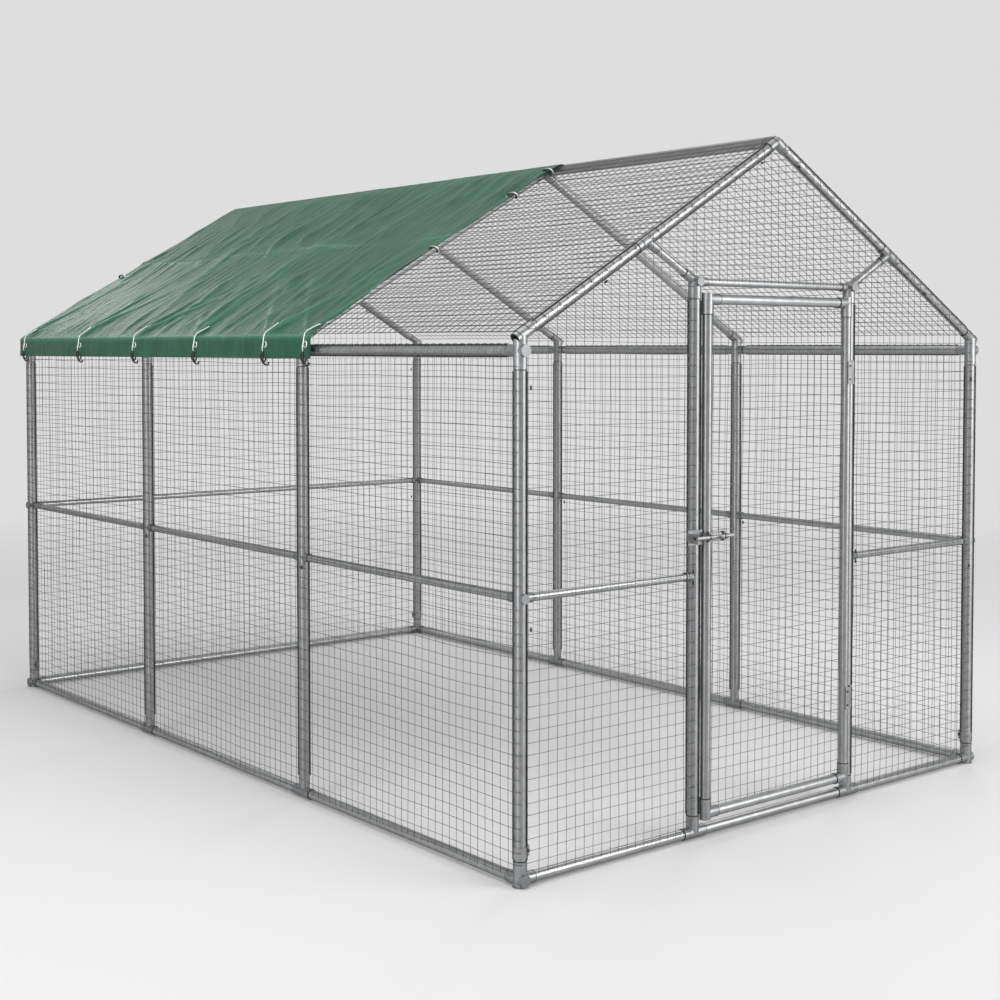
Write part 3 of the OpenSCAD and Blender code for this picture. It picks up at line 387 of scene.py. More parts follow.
class Net:
    """Welded mesh on one plane, pulled slightly out of true."""

    def __init__(self, seed, place, bulge):
        self.place = place
        self.bulge = bulge
        self.slip_u = waves(seed, count=5, shortest=0.25, longest=1.1)
        self.slip_v = waves(seed + 1, count=5, shortest=0.25, longest=1.1)
        self.lines = []

    def point(self, u, v, layer):
        u, v = np.broadcast_arrays(u, v)
        du = SLIP * self.slip_u(u, v)
        dv = SLIP * self.slip_v(u, v)
        return self.place(u + du, v + dv, layer * WELD + self.bulge(u, v))

    def upright(self, u, v0, v1):
        line = self.point(u, run(v0, v1), 1)
        self.lines.append(line)
        return line

    def course(self, v, u0, u1):
        line = self.point(run(u0, u1), v, -1)
        self.lines.append(line)
        return line


def between_frames(y):
    """0 at each cross frame of the run and 1 midway between two."""
    return np.abs(np.sin(math.pi * (y + HALF_L) / BAY))


def near(z, spots):
    """Whether a height is too close to one of some spots, given as heights and reaches."""
    return any(abs(z - height) < reach for height, reach in spots)


# Plugged stubs of the corner posts: their heights, and how far a wire stays from them
STUBS = [(BASE_Z, 0.018), (MID_Z, 0.015), (EAVE_Z, 0.018)]

# Side walls: each course turns part of the way round the corner posts, but not over a stub, and each
# upright turns over the eave rail, but not at a cross frame
WRAP_R = SIDE_X - HALF_W
LEAST_WRAP = 0.5
MOST_WRAP = 1.3
EAVE_WRAP = math.radians(115)
FRAME_CLEAR = 0.05
WALL_BULGE = 0.0035


def corner_lap(side, end, z, turn):
    """Points from the side wall part of the way round a corner post."""
    angle = np.linspace(0, turn, 5)[1:]
    x = side * (HALF_W + WRAP_R * np.cos(angle))
    y = end * (HALF_L + WRAP_R * np.sin(angle))
    return np.stack([x, y, np.full_like(x, z)], axis=1)


def eave_lap(side, y):
    """Points from the top of the side wall over the eave rail."""
    angle = np.linspace(0, EAVE_WRAP, 6)[1:]
    x = side * (HALF_W + WRAP_R * np.cos(angle))
    z = EAVE_Z + WRAP_R * np.sin(angle)
    return np.stack([x, np.full_like(x, y), z], axis=1)


def side_wall(side, seed):
    rng = np.random.default_rng(seed + 3)
    sway = waves(seed + 7, count=4, shortest=0.4, longest=1.5)

    def place(u, v, n):
        return np.stack([side * (SIDE_X + n), u, v], axis=-1)

    def bulge(u, v):
        return WALL_BULGE * between_frames(u) * (0.5 + 0.35 * sway(u, v))

    net = Net(seed, place, bulge)
    for y in np.arange(CORNER_GAP - HALF_L + FIRST_UPRIGHT, HALF_L - CORNER_GAP, CELL):
        line = net.upright(y, FOOT_Z, EAVE_Z)
        if np.abs(FRAME_YS - y).min() > FRAME_CLEAR:
            net.lines[-1] = np.concatenate([line, eave_lap(side, line[-1, 1])])
    for z in np.arange(BASE_Z + FIRST_COURSE, EAVE_Z, CELL):
        line = net.course(z, CORNER_GAP - HALF_L, HALF_L - CORNER_GAP)
        if not near(z, STUBS):
            front = corner_lap(side, -1, line[0, 2], rng.uniform(LEAST_WRAP, MOST_WRAP))[::-1]
            back = corner_lap(side, 1, line[-1, 2], rng.uniform(LEAST_WRAP, MOST_WRAP))
            net.lines[-1] = np.concatenate([front, line, back])
    return net.lines


# End walls: their wires end at the rafters, and the front's leave the doorway free
END_BULGE = 0.0006
END_SWAY = 0.0005
END_EDGE = HALF_W - CORNER_GAP
UPRIGHT_OVER = 0.010
COURSE_OVER = 0.008
APEX_GAP = 0.012
DOOR_EDGE = DOOR_X + CORNER_GAP
OVER_DOOR_POST = DOOR_X + 0.009
OVER_CORNER_POST = HALF_W - 0.008
GABLE_Z = LINTEL_Z + CORNER_GAP
GABLE_FIRST = 0.006
LINTEL_INSET = 0.02
FITTING_CLEAR = 0.05
KEEPER_CLEAR = 0.024
HINGE_CLEAR = 0.042


def end_wall(end, seed):
    sway = waves(seed + 7, count=4, shortest=0.4, longest=1.5)

    def place(u, v, n):
        return np.stack([u, end * (END_Y + n), v], axis=-1)

    def bulge(u, v):
        return END_BULGE + END_SWAY * sway(u, v)

    return Net(seed, place, bulge)


def upright_top(x):
    return APEX_Z - abs(x) * math.tan(PITCH) + UPRIGHT_OVER


def course_end(z, edge):
    """How far a course reaches from the middle, to the corner or to the rafter."""
    return min(edge, (APEX_Z + COURSE_OVER - z) / math.tan(PITCH))


def back_wall(seed):
    net = end_wall(1, seed)
    for x in np.arange(-END_EDGE + FIRST_UPRIGHT, END_EDGE, CELL):
        net.upright(x, FOOT_Z, upright_top(x))
    for z in np.arange(BASE_Z + FIRST_COURSE, APEX_Z - APEX_GAP, CELL):
        reach = course_end(z, END_EDGE)
        net.course(z, -reach, reach)
    return net.lines


def front_wall(seed):
    """The front's net stops short of the hinges, the keeper, the fittings and the stubs."""
    net = end_wall(-1, seed)
    for side in (-1, 1):
        for x in np.arange(DOOR_EDGE + FIRST_UPRIGHT, END_EDGE, CELL):
            net.upright(side * x, FOOT_Z, upright_top(x))
        clear = [(BASE_Z, FITTING_CLEAR), (LINTEL_Z, FITTING_CLEAR)]
        clear += [(BOLT_Z, KEEPER_CLEAR)] if side < 0 else [(z, HINGE_CLEAR) for z in HINGE_ZS]
        for z in np.arange(BASE_Z + FIRST_COURSE, GABLE_Z, CELL):
            inner = DOOR_EDGE if near(z, clear) else OVER_DOOR_POST
            outer = course_end(z, END_EDGE if near(z, STUBS) else OVER_CORNER_POST)
            net.course(z, side * inner, side * outer)
    for x in np.arange(-DOOR_EDGE + GABLE_FIRST, DOOR_EDGE, CELL):
        foot = LINTEL_Z if abs(x) < DOOR_X - LINTEL_INSET else GABLE_Z
        net.upright(x, foot, upright_top(x))
    for z in np.arange(BASE_Z + FIRST_COURSE, APEX_Z - APEX_GAP, CELL):
        if z >= GABLE_Z:
            reach = course_end(z, END_EDGE)
            net.course(z, -reach, reach)
    return net.lines


# Roof: its nets start past the eave rails, slip differently on each slope, and lap over the ridge, where
# a second layer lies half a cell further on
ROOF_TAIL = 0.012
ROOF_SAG = 0.005
RIDGE_GAP = 0.006
RAFTER_WRAP = math.radians(75)
ELSEWHERE = 5


def roof(seed):
    """Wires over the ridge from eave to eave, and wires along it that turn down the end rafters."""
    slip = waves(seed, count=5, shortest=0.3, longest=1.2)
    slip_along = waves(seed + 1, count=5, shortest=0.3, longest=1.2)
    over = ROOF_OFF + WELD
    under = ROOF_OFF - WELD
    lines = []

    def sag(s, y):
        return -ROOF_SAG * between_frames(y) * np.sin(math.pi * np.clip(s / RAFTER_L, 0, 1))

    def slope(side, s, y, n):
        x = HALF_W - s * math.cos(PITCH) + n * math.sin(PITCH)
        z = EAVE_Z + RAFTER_LIFT + s * math.sin(PITCH) + n * math.cos(PITCH)
        s, y, x, z = np.broadcast_arrays(s, y, x, z)
        return np.stack([side * x, y, z], axis=-1)

    for y in np.arange(FIRST_UPRIGHT - HALF_L, HALF_L, CELL):
        s = run(-ROOF_TAIL, RAFTER_L)
        left = slope(-1, s, y + SLIP * slip(s, y), over + sag(s, y))
        right = slope(1, s, y + SLIP * slip(s + ELSEWHERE, y), over + sag(s, y))
        turn = np.linspace(PITCH, -PITCH, 7)[1:-1]
        crown = np.stack([-over * np.sin(turn), np.full_like(turn, y), APEX_Z + over * np.cos(turn)], axis=1)
        whole = np.concatenate([left, crown, right[::-1]])
        lap = whole[len(left) - 2:len(left) + len(crown) + 2].copy()
        lap[:, 1] += CELL / 2
        lines += [whole, lap]
    for side in (-1, 1):
        for s in np.arange(FIRST_UPRIGHT - ROOF_TAIL, RAFTER_L - RIDGE_GAP, CELL):
            y = run(-HALF_L, HALF_L)
            along = slope(side, s + SLIP * slip_along(s + ELSEWHERE * side, y), y, under + sag(s, y))
            angle = np.linspace(0, RAFTER_WRAP, 5)[1:]
            front = slope(side, s, -HALF_L - under * np.sin(angle), under * np.cos(angle))
            back = slope(side, s, HALF_L + under * np.sin(angle), under * np.cos(angle))
            lines.append(np.concatenate([front[::-1], along, back]))
    return lines


# Door
DOOR_SWAY = 0.0015
DOOR_LAP = 0.0015
DOOR_FIRST = 0.006


def door_net(seed):
    low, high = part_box("door_mesh")
    plane = middle("door_mesh")[1]
    sway = waves(seed + 7, count=4, shortest=0.4, longest=1.2)

    def place(u, v, n):
        return np.stack([u, plane - n, v], axis=-1)

    def bulge(u, v):
        return DOOR_SWAY * sway(u, v)

    net = Net(seed, place, bulge)
    for x in np.arange(low[0] + DOOR_FIRST, high[0], CELL):
        net.upright(x, low[2] - DOOR_LAP, high[2] + DOOR_LAP)
    for z in np.arange(low[2] + DOOR_FIRST, high[2], CELL):
        net.course(z, low[0] - DOOR_LAP, high[0] + DOOR_LAP)
    return net.lines


def net_piece(name, lines, body, *nodes, radius=WIRE_R, material=WIRE):
    verts, faces = swept(lines, radius)
    obj = piece(name, verts, faces, material, "wire", body)
    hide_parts(*nodes)


net_piece("wire_mesh_left", side_wall(-1, seed=11), "frame", "mesh_left")
net_piece("wire_mesh_right", side_wall(1, seed=23), "frame", "mesh_right")
net_piece("wire_mesh_back", back_wall(seed=35), "frame", "mesh_back")
net_piece(
    "wire_mesh_front", front_wall(seed=47), "frame",
    "mesh_front_left", "mesh_front_right", "mesh_front_gable",
)
net_piece(
    "wire_mesh_roof", roof(seed=59), "frame", "mesh_roof_left", "mesh_roof_right",
    radius=ROOF_WIRE_R, material=ROOF_WIRE,
)
net_piece("wire_mesh_door", door_net(seed=71), "door", "door_mesh")

# Tarpaulin: from a lap past the ridge, down the left slope and a short way down at the eave
TARP_LOW, TARP_HIGH = (np.array(corner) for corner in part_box("tarpaulin"))
TARP_L = TARP_HIGH[1] - TARP_LOW[1]
SHEET_T = 0.0012
UNDERSIDE = 0.0179
REST = UNDERSIDE + SHEET_T / 2
RIDGE_LAP = 0.040
VALANCE = 0.062
FOLD_R = 0.008
FOLD_INSET = 0.002
FOLD_X = -TARP_LOW[0] - FOLD_INSET

# Distances across the sheet from the ridge: the crown, the slope, the eave's fold, and the hem below it
CROWN_L = REST * PITCH
SLOPE_L = (FOLD_X - REST * math.sin(PITCH) - FOLD_R * (1 - math.sin(PITCH))) / math.cos(PITCH)
FOLD_L = FOLD_R * (math.pi / 2 - PITCH)
SLOPE_S = CROWN_L + SLOPE_L
FALL_S = SLOPE_S + FOLD_L
EDGE_S = FALL_S + VALANCE
LAP_S = CROWN_L + RIDGE_LAP

profile_s = np.linspace(0, EDGE_S, 4001)
profile_lean = np.interp(profile_s, [0, CROWN_L, SLOPE_S, FALL_S], [0, PITCH, PITCH, math.pi / 2])
profile_step = profile_s[1]
profile_x = np.concatenate([[0], np.cumsum(np.cos(profile_lean[1:]) * profile_step)])
profile_z = APEX_Z + REST - np.concatenate([[0], np.cumsum(np.sin(profile_lean[1:]) * profile_step)])


def on_sheet(s, y, lift):
    """Point above the sheet's resting shape, at a distance s down the left slope from the ridge."""
    lean = np.interp(np.abs(s), profile_s, profile_lean)
    x = np.interp(np.abs(s), profile_s, profile_x) + lift * np.sin(lean)
    z = np.interp(np.abs(s), profile_s, profile_z) + lift * np.cos(lean)
    return np.stack(np.broadcast_arrays(np.where(s < 0, x, -x), y, z), axis=-1)


# Eyelets, as shares of the sheet's length along the eave
EYELET_SHARES = [0.013, 0.12, 0.325, 0.53, 0.74, 0.975]
EYELET_YS = TARP_LOW[1] + np.array(EYELET_SHARES) * TARP_L
EYELET_DROP = 0.020

# Wrinkles down the slope: from crest to crest, height, and slant in degrees
WRINKLES = [
    (0.43, 0.0050, 12), (0.24, 0.0045, 5), (0.135, 0.0042, 14), (0.072, 0.0030, 3), (0.041, 0.0014, 9),
]
# How pale the wrinkles' crests are painted, partly as wear and partly as painted sheen
WRINKLE_SHEEN_WEAR = 0.10
RELIEF_SEED = 83
SWELL = 0.0024
SWELL_WAVE = 0.0022
LEAST_LIFT = 0.0004
MOST_LIFT = 0.016

# Pulls, which fan out from each eyelet: a short one and longer ones, with leans in degrees
PULLS = 6
SHORT_LEAN = -24
SHORT_REACH = 0.12
PULL_LEANS = (-48, 56)
PULL_REACHES = (0.18, 0.55)
PULL_WIDTHS = (0.006, 0.013)
PULL_HEIGHTS = (0.003, 0.0075)
# How pale the pulls are painted, partly as wear and partly as painted sheen
PULL_SHEEN_WEAR = 0.45

# Creases from packing: one along the sheet and three across it, each painted paler, partly as wear and
# partly as painted sheen
LONG_CREASE = 0.47
LONG_WANDER = 0.016
LONG_WIDTH = 0.007
LONG_HEIGHT = 0.0055
LONG_SHEEN_WEAR = 0.7
CROSS_CREASES = (0.24, 0.49, 0.75)
CROSS_WANDER = 0.008
CROSS_WIDTH = 0.006
CROSS_HEIGHT = 0.0018
CROSS_SHEEN_WEAR = 0.35

# Edges: the hems, the fold painted paler as wear and as painted sheen, and how the sheet is held flat at the
# eave and billows below it
HEM = 0.028
LOW_HEM = 0.016
HEM_LIFT = 0.0008
FOLD_SHEEN_WEAR = 0.8
FOLD_SHEEN_WIDTH = 0.006
HELD_FLAT = 0.06
HELD_SHARE = 0.25
HANGS_FREE = 0.015
HANG_CALM = 0.5
HANG_LESS_SHEEN_WEAR = 0.8
EYELET_HOLD = 0.16
BILLOW = 0.004
BILLOW_WAVE = 0.0025


def wrinkles(s, y, up, rng):
    """Lift of the wrinkles that run down the slope, and the paler paint on their crests, partly wear and
    partly painted sheen.
    """
    lift = 0
    wear_sheen = 0
    for length, height, slant in WRINKLES:
        lean = math.radians(slant)
        across = y * math.cos(lean) - up * math.sin(lean)
        drift = waves(int(1000 * length), count=3, shortest=0.35, longest=1.1)
        patches = waves(int(3000 * length), count=4, shortest=0.2, longest=0.8)
        strength = np.clip(0.45 + 0.75 * patches(y, s), 0, 1.4)
        phase = rng.uniform(0, 2 * math.pi)
        crest = 1 - np.abs(np.sin(math.pi * across / length + phase + 0.9 * drift(y, s)))
        lift = lift + height * strength * crest ** 1.6
        wear_sheen = wear_sheen + WRINKLE_SHEEN_WEAR * strength * crest ** 6
    return lift, wear_sheen


def pulls(y, up, rng):
    """Lift of the folds that the eyelets pull into the sheet, and their paler paint, partly wear and partly
    painted sheen.
    """
    lift = 0
    wear_sheen = 0
    for place in EYELET_YS:
        for k in range(PULLS):
            lean = math.radians(rng.uniform(*PULL_LEANS) if k else SHORT_LEAN)
            reach = rng.uniform(*PULL_REACHES) if k else SHORT_REACH
            width = rng.uniform(*PULL_WIDTHS)
            height = rng.uniform(*PULL_HEIGHTS)
            along = up * math.cos(lean) + (y - place) * math.sin(lean)
            aside = -up * math.sin(lean) + (y - place) * math.cos(lean)
            body = np.exp(-np.abs(aside / (width * (0.5 + np.clip(along, 0, 1) / reach))) ** 1.5)
            body = body * np.exp(-np.clip(along, 0, None) / reach) * (along > 0)
            lift = lift + height * body
            wear_sheen = wear_sheen + PULL_SHEEN_WEAR * body
    return lift, wear_sheen


def creases(s, y):
    """Lift of the creases from packing, and their paler paint, partly wear and partly painted sheen."""
    wander = waves(101, count=3, shortest=0.5, longest=1.4)
    gaps = waves(107, count=3, shortest=0.3, longest=0.9)
    middle_s = LONG_CREASE * SLOPE_S + LONG_WANDER * wander(y, 0 * s)
    broken = np.clip(0.65 + 0.6 * gaps(y, 0 * s), 0, 1)
    ridge = np.exp(-np.abs(s - middle_s) / LONG_WIDTH) * broken
    lift = LONG_HEIGHT * ridge
    wear_sheen = LONG_SHEEN_WEAR * ridge
    for share in CROSS_CREASES:
        packed = TARP_LOW[1] + share * TARP_L + CROSS_WANDER * wander(s, y)
        line = np.exp(-np.abs(y - packed) / CROSS_WIDTH)
        lift = lift + CROSS_HEIGHT * line
        wear_sheen = wear_sheen + CROSS_SHEEN_WEAR * line
    return lift, wear_sheen


def relief(s, y):
    """Height of the sheet above its resting shape, and how pale its creases are painted, partly as wear and
    partly as painted sheen.
    """
    rng = np.random.default_rng(RELIEF_SEED)
    up = np.clip(SLOPE_S - s, 0, None)
    swell = waves(91, count=5, shortest=0.35, longest=1.3)
    lift = SWELL + SWELL_WAVE * swell(y, s)
    wear_sheen = 0
    for more_lift, more_rub in (wrinkles(s, y, up, rng), pulls(y, up, rng), creases(s, y)):
        lift = lift + more_lift
        wear_sheen = wear_sheen + more_rub
    hem = (y - TARP_LOW[1] < HEM) | (TARP_HIGH[1] - y < HEM)
    lift = np.clip(lift, LEAST_LIFT, MOST_LIFT) + HEM_LIFT * hem
    wear_sheen = wear_sheen + FOLD_SHEEN_WEAR * np.exp(-np.abs(s - FALL_S + FOLD_L / 2) / FOLD_SHEEN_WIDTH)
    lift = lift * (HELD_SHARE + (1 - HELD_SHARE) * np.clip(up / HELD_FLAT, 0, 1))
    hanging = np.clip((s - FALL_S) / HANGS_FREE, 0, 1)
    lift = lift * (1 - HANG_CALM * hanging)
    wear_sheen = wear_sheen * (1 - HANG_LESS_SHEEN_WEAR * hanging)
    drop = np.clip((s - FALL_S) / VALANCE, 0, 1)
    gap = np.abs(y[..., None] - EYELET_YS).min(axis=-1)
    free = np.clip(gap / EYELET_HOLD, 0, 1) ** 1.3
    billow = waves(113, count=4, shortest=0.08, longest=0.4)
    lift = lift + drop * free * (BILLOW + BILLOW_WAVE * billow(y, 0 * s))
    lift = lift + HEM_LIFT * (EDGE_S - s < LOW_HEM)
    return lift, np.clip(wear_sheen, 0, 1)


# The sheet's grid: rows of points along it and steps in each stretch across it, with the ridge's hold
ROWS = 321
STRETCHES = [
    (-LAP_S, -CROWN_L, 7), (-CROWN_L, CROWN_L, 8), (CROWN_L, SLOPE_S, 180),
    (SLOPE_S, FALL_S, 5), (FALL_S, EDGE_S, 12),
]
RIDGE_LIFT = 0.001
RIDGE_EASE = 0.08
RIDGE_SHARE = 0.15


def tarpaulin():
    across = [np.linspace(start, stop, steps, endpoint=False) for start, stop, steps in STRETCHES]
    across = np.concatenate([*across, [EDGE_S]])
    rows = np.linspace(TARP_LOW[1], TARP_HIGH[1], ROWS)
    s, y = np.meshgrid(across, rows, indexing="ij")
    lift, wear_and_sheen = relief(s, y)
    lift = RIDGE_LIFT + (lift - RIDGE_LIFT) * np.clip(np.abs(s) / RIDGE_EASE, RIDGE_SHARE, 1)
    points = on_sheet(s, y, lift)
    a = (np.arange(len(across) - 1)[:, None] * ROWS + np.arange(ROWS - 1)).reshape(-1)
    quads = np.stack([a, a + 1, a + ROWS + 1, a + ROWS], axis=1).tolist()
    obj = piece("tarpaulin_sheet", points.reshape(-1, 3), quads, SHEET, "sheet")
    mesh = obj.data
    # Paler paint on the creases and folds, partly wear and partly painted sheen
    mesh.attributes.new("wear_and_sheen", "FLOAT", "POINT").data.foreach_set("value", wear_and_sheen.reshape(-1))
    flat = np.stack([s, y], axis=-1).reshape(-1, 2)
    corners = np.empty(len(mesh.loops), dtype=int)
    mesh.loops.foreach_get("vertex_index", corners)
    mesh.uv_layers.new(name="flat").data.foreach_set("uv", flat[corners].reshape(-1))
    thick = obj.modifiers.new("thickness", "SOLIDIFY")
    thick.thickness = SHEET_T
    thick.offset = 0
    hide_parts("tarpaulin")
    return obj


# Eyelets and hooks, the eave hooks' dark lower ends, and dark wires beside the edge hooks that are painted
# shadows
EYE_R = 0.0085
EYE_WIRE = 0.0034
EYE_FLAT = 0.6
EYE_LIFT = 0.0016
HOOK_R = 0.0026
HOOK_GAP = 0.001

# An eave hook's route: down and along the slope, then out and up from the eyelet, and from the hem
HOOK_RISE = [(-0.046, -0.020), (-0.022, -0.009), (0.001, -0.002)]
HOOK_AT_EYE = [(0.0055, 0.003), (0.0075, -0.008)]
HOOK_HALFWAY = 0.0060
HOOK_AT_HEM = [(0.0050, -0.002), (-0.0005, -0.0105), (-0.0060, -0.004), (-0.0066, 0.008)]
HOOK_DRIFT = 0.0012
DARK_FROM = 2

# The curl below it: out from the eyelet, along the eave and up from the hem
CURL = [
    (0.006, 0.004, 0.020), (0.008, 0.012, 0.008), (0.005, 0.012, -0.005),
    (0.002, 0.001, -0.017), (0, -0.016, -0.020), (0, -0.023, -0.012),
]

# Eyelets in the front and back edges, as shares of the slope and the way in from the edge
EDGE_EYELETS = [(0.045, 1), (0.20, 1), (0.53, 1), (0.55, -1)]
EDGE_EYE_IN = 0.026
EDGE_EYE_LIFT = 0.0035
# How far down the slope the dark wire lies that paints each edge hook's shadow
EDGE_SHADOW_DROP = 0.0045

# An edge hook's route from the eyelet: along the ridge, and off the slope
EDGE_HOOK = [
    (0.004, -0.004), (0.001, 0.004), (-0.008, 0.0085), (-0.022, 0.009), (-0.034, 0.006),
    (-0.040, -0.001), (-0.037, -0.008), (-0.031, -0.009),
]
SLOPE_NORMAL = np.array([-math.sin(PITCH), 0, math.cos(PITCH)])
SLOPE_DOWN = np.array([-math.cos(PITCH), 0, -math.sin(PITCH)])


def above_sheet(s, y, gap):
    lift = relief(np.array([s]), np.array([y]))[0]
    return on_sheet(s, y, lift[0] + gap)


def eave_hook(y):
    """An eyelet's ring, the bright part of its hook, and the dark end and curl."""
    eye = on_sheet(FALL_S + EYELET_DROP, y, EYE_LIFT)
    hem_z = on_sheet(EDGE_S, y, 0)[2]
    x = -eye[0]
    path = [(x + out, eye[2] + up) for out, up in HOOK_AT_EYE]
    path += [(x + HOOK_HALFWAY, (eye[2] + hem_z) / 2)]
    path += [(x + out, hem_z + up) for out, up in HOOK_AT_HEM]
    rise = [above_sheet(SLOPE_S + down, y + along, HOOK_R + HOOK_GAP) for down, along in HOOK_RISE]
    fall = [np.array([-px, y + HOOK_DRIFT * k, pz]) for k, (px, pz) in enumerate(path)]
    curl = [np.array([-x - out, y + along, hem_z + up]) for out, along, up in CURL]
    ring = torus(eye, (-1, 0, 0), EYE_R, EYE_WIRE, EYE_FLAT)
    return ring, curve(rise + fall[:DARK_FROM + 1]), [curve(fall[DARK_FROM:]), curve(curl)]


def edge_hook(share, inward):
    """An eyelet's ring, its hook, and a dark wire beside the hook that is a painted shadow of it on the
    sheet.
    """
    edge = TARP_LOW[1] if inward > 0 else TARP_HIGH[1]
    eye = on_sheet(CROWN_L + share * SLOPE_L, edge + inward * EDGE_EYE_IN, EDGE_EYE_LIFT)
    bend = [eye + np.array([0, inward * along, 0]) + off * SLOPE_NORMAL for along, off in EDGE_HOOK]
    ring = torus(eye, SLOPE_NORMAL, EYE_R, EYE_WIRE, EYE_FLAT)
    return ring, curve(bend), [curve([point + EDGE_SHADOW_DROP * SLOPE_DOWN for point in bend[1:]])]


sheet = tarpaulin()
fixings = [eave_hook(y) for y in EYELET_YS]
fixings += [edge_hook(share, inward) for share, inward in EDGE_EYELETS]
rings, hooks, ends = zip(*fixings)
eyelets = piece("tarp_grommets", *joined(rings), BRIGHT, "eyelet")
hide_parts("tarp_eyelets")
hook_wires = piece("tarp_hook_wires", *swept(hooks, HOOK_R, 8), BRIGHT, "eyelet")
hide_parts("tarp_hooks")
# Dark wire: the eave hooks' lower ends and curls, and the painted shadows beside the edge hooks
hook_dark_ends_and_shadows = piece("tarp_hook_dark_ends_and_shadows", *swept(sum(ends, []), HOOK_R, 6), TIE, "wire")

# Edge wires: two are laced along each post, end rafter and eave rail, clear of the sleeves
LACE_R = 0.0018
LACE_SWING = 0.00015
LACE_PITCH = 0.024
POINTS_A_TURN = 5
POST_EDGE = 0.0125
POST_CLEAR = 0.050
POST_SEED = 200
RAFTER_EDGE = 0.0145
RAFTER_OUT = 0.0065
RAFTER_CLEAR = 0.046
RAFTER_SEED = 230
EAVE_EDGE = 0.0155
EAVE_OUT = 0.0040
EAVE_CLEAR = 0.045
EAVE_SEED = 250


def twist(a, b, seed):
    """A wire that winds about the straight line between two points."""
    a = np.array(a, dtype=float)
    b = np.array(b, dtype=float)
    length = np.linalg.norm(b - a)
    way = (b - a) / length
    side = np.cross(way, AWRY)
    side /= np.linalg.norm(side)
    up = np.cross(way, side)
    far = np.linspace(0, length, max(2, int(length / LACE_PITCH * POINTS_A_TURN)))
    wander = waves(seed, count=4, shortest=0.05, longest=0.4)
    angle = 2 * math.pi * far / LACE_PITCH + 1.5 * wander(far, 0 * far)
    off = LACE_SWING * (1 + 0.5 * wander(0 * far, far))
    turn = np.cos(angle)[:, None] * side + np.sin(angle)[:, None] * up
    return a + far[:, None] * way + off[:, None] * turn


laced = []
posts = [(side * HALF_W, y, EAVE_Z) for side in (-1, 1) for y in FRAME_YS]
posts += [(side * DOOR_X, -HALF_L, LINTEL_Z) for side in (-1, 1)]
for k, (x, y, top) in enumerate(posts):
    for way in (-1, 1):
        edge = np.array([x + way * POST_EDGE, y - way * POST_EDGE, 0])
        low = edge + np.array([0, 0, BASE_Z + POST_CLEAR])
        high = edge + np.array([0, 0, top - POST_CLEAR])
        laced.append(twist(low, high, POST_SEED + 2 * k + way))
for side in (-1, 1):
    for end in (-1, 1):
        for off in (-RAFTER_EDGE, RAFTER_EDGE):
            y = end * (HALF_L + RAFTER_OUT)
            low = on_rafter(side, y, RAFTER_CLEAR, off)
            high = on_rafter(side, y, RAFTER_L - RAFTER_CLEAR, off)
            laced.append(twist(low, high, RAFTER_SEED + end))
    for k in range(BAYS):
        for z in (EAVE_Z - EAVE_EDGE, EAVE_Z + EAVE_EDGE):
            x = side * (HALF_W + EAVE_OUT)
            front = (x, FRAME_YS[k] + EAVE_CLEAR, z)
            back = (x, FRAME_YS[k + 1] - EAVE_CLEAR, z)
            laced.append(twist(front, back, EAVE_SEED + k))
piece("mesh_edge_wires", *swept(laced, LACE_R), TIE, "wire")

# Knots that tie the nets to the tubes: their size, and their places beside the tubes
UP = (0, 0, 1)
KNOT_WIRE_R = 0.0010
KNOT_R = 0.0021
KNOT_HALF = 0.0045
KNOT_TURNS = 3.5
KNOT_POINTS = 36
CUT_END = 0.004
CUT_SHARES = np.array([[0.35, 0.2], [0.6, 0.9]])
BESIDE = 0.0196
UNDER_RAFTER = 0.0175
KNOT_OUT = 0.001
CORNER_KNOT_ZS = (0.640, 1.236)
SIDE_KNOT_Z = 0.690
DOOR_KNOT_ZS = (MID_Z - 0.016, MID_Z + 0.014)
APEX_KNOT = 0.100
EAVE_KNOT = 0.30


def knot(centre, way, out):
    """A few tight turns of wire with a cut end, beside a tube."""
    centre = np.array(centre, dtype=float)
    way = np.array(way, dtype=float)
    out = np.array(out, dtype=float)
    aside = np.cross(way, out)
    angle = np.linspace(0, 2 * math.pi * KNOT_TURNS, KNOT_POINTS)
    along = np.linspace(-KNOT_HALF, KNOT_HALF, KNOT_POINTS)
    turns = KNOT_R * (np.cos(angle)[:, None] * out + np.sin(angle)[:, None] * aside)
    coil = centre + along[:, None] * way + turns
    end = coil[-1] + CUT_SHARES @ np.array([way, out]) * CUT_END
    return np.concatenate([coil, end])


knots = []
for side in (-1, 1):
    for end in (-1, 1):
        y = end * (END_Y + KNOT_OUT)
        for z in CORNER_KNOT_ZS:
            knots.append(knot((side * (HALF_W - BESIDE), y, z), UP, (0, end, 0)))
        for s in (RAFTER_L - APEX_KNOT, EAVE_KNOT):
            knots.append(knot(on_rafter(side, y, s, -UNDER_RAFTER), up_slope(side), (0, end, 0)))
    for y in INNER_YS:
        knots.append(knot((side * (SIDE_X + KNOT_OUT), y - BESIDE, SIDE_KNOT_Z), UP, (side, 0, 0)))
    for z in DOOR_KNOT_ZS:
        knots.append(knot((side * (DOOR_X + BESIDE), -END_Y - KNOT_OUT, z), UP, (0, -1, 0)))
piece("mesh_ties", *swept(knots, KNOT_WIRE_R, 6), TIE, "wire")

# Dark rings where the tubes leave their sleeves: partly grime, partly painted shade in the gap at each
# sleeve's mouth
DOWN = (0, 0, -1)
SEAM_R = 0.0010
SEAM_GAP = 0.0008
SEAM_STRETCH = 1.5
STRUT_OUT = 0.183
STRUT_X = DOOR_X + STRUT_OUT
STRUT_Z = EAVE_Z + RAFTER_LIFT + (HALF_W - STRUT_X) * math.tan(PITCH)


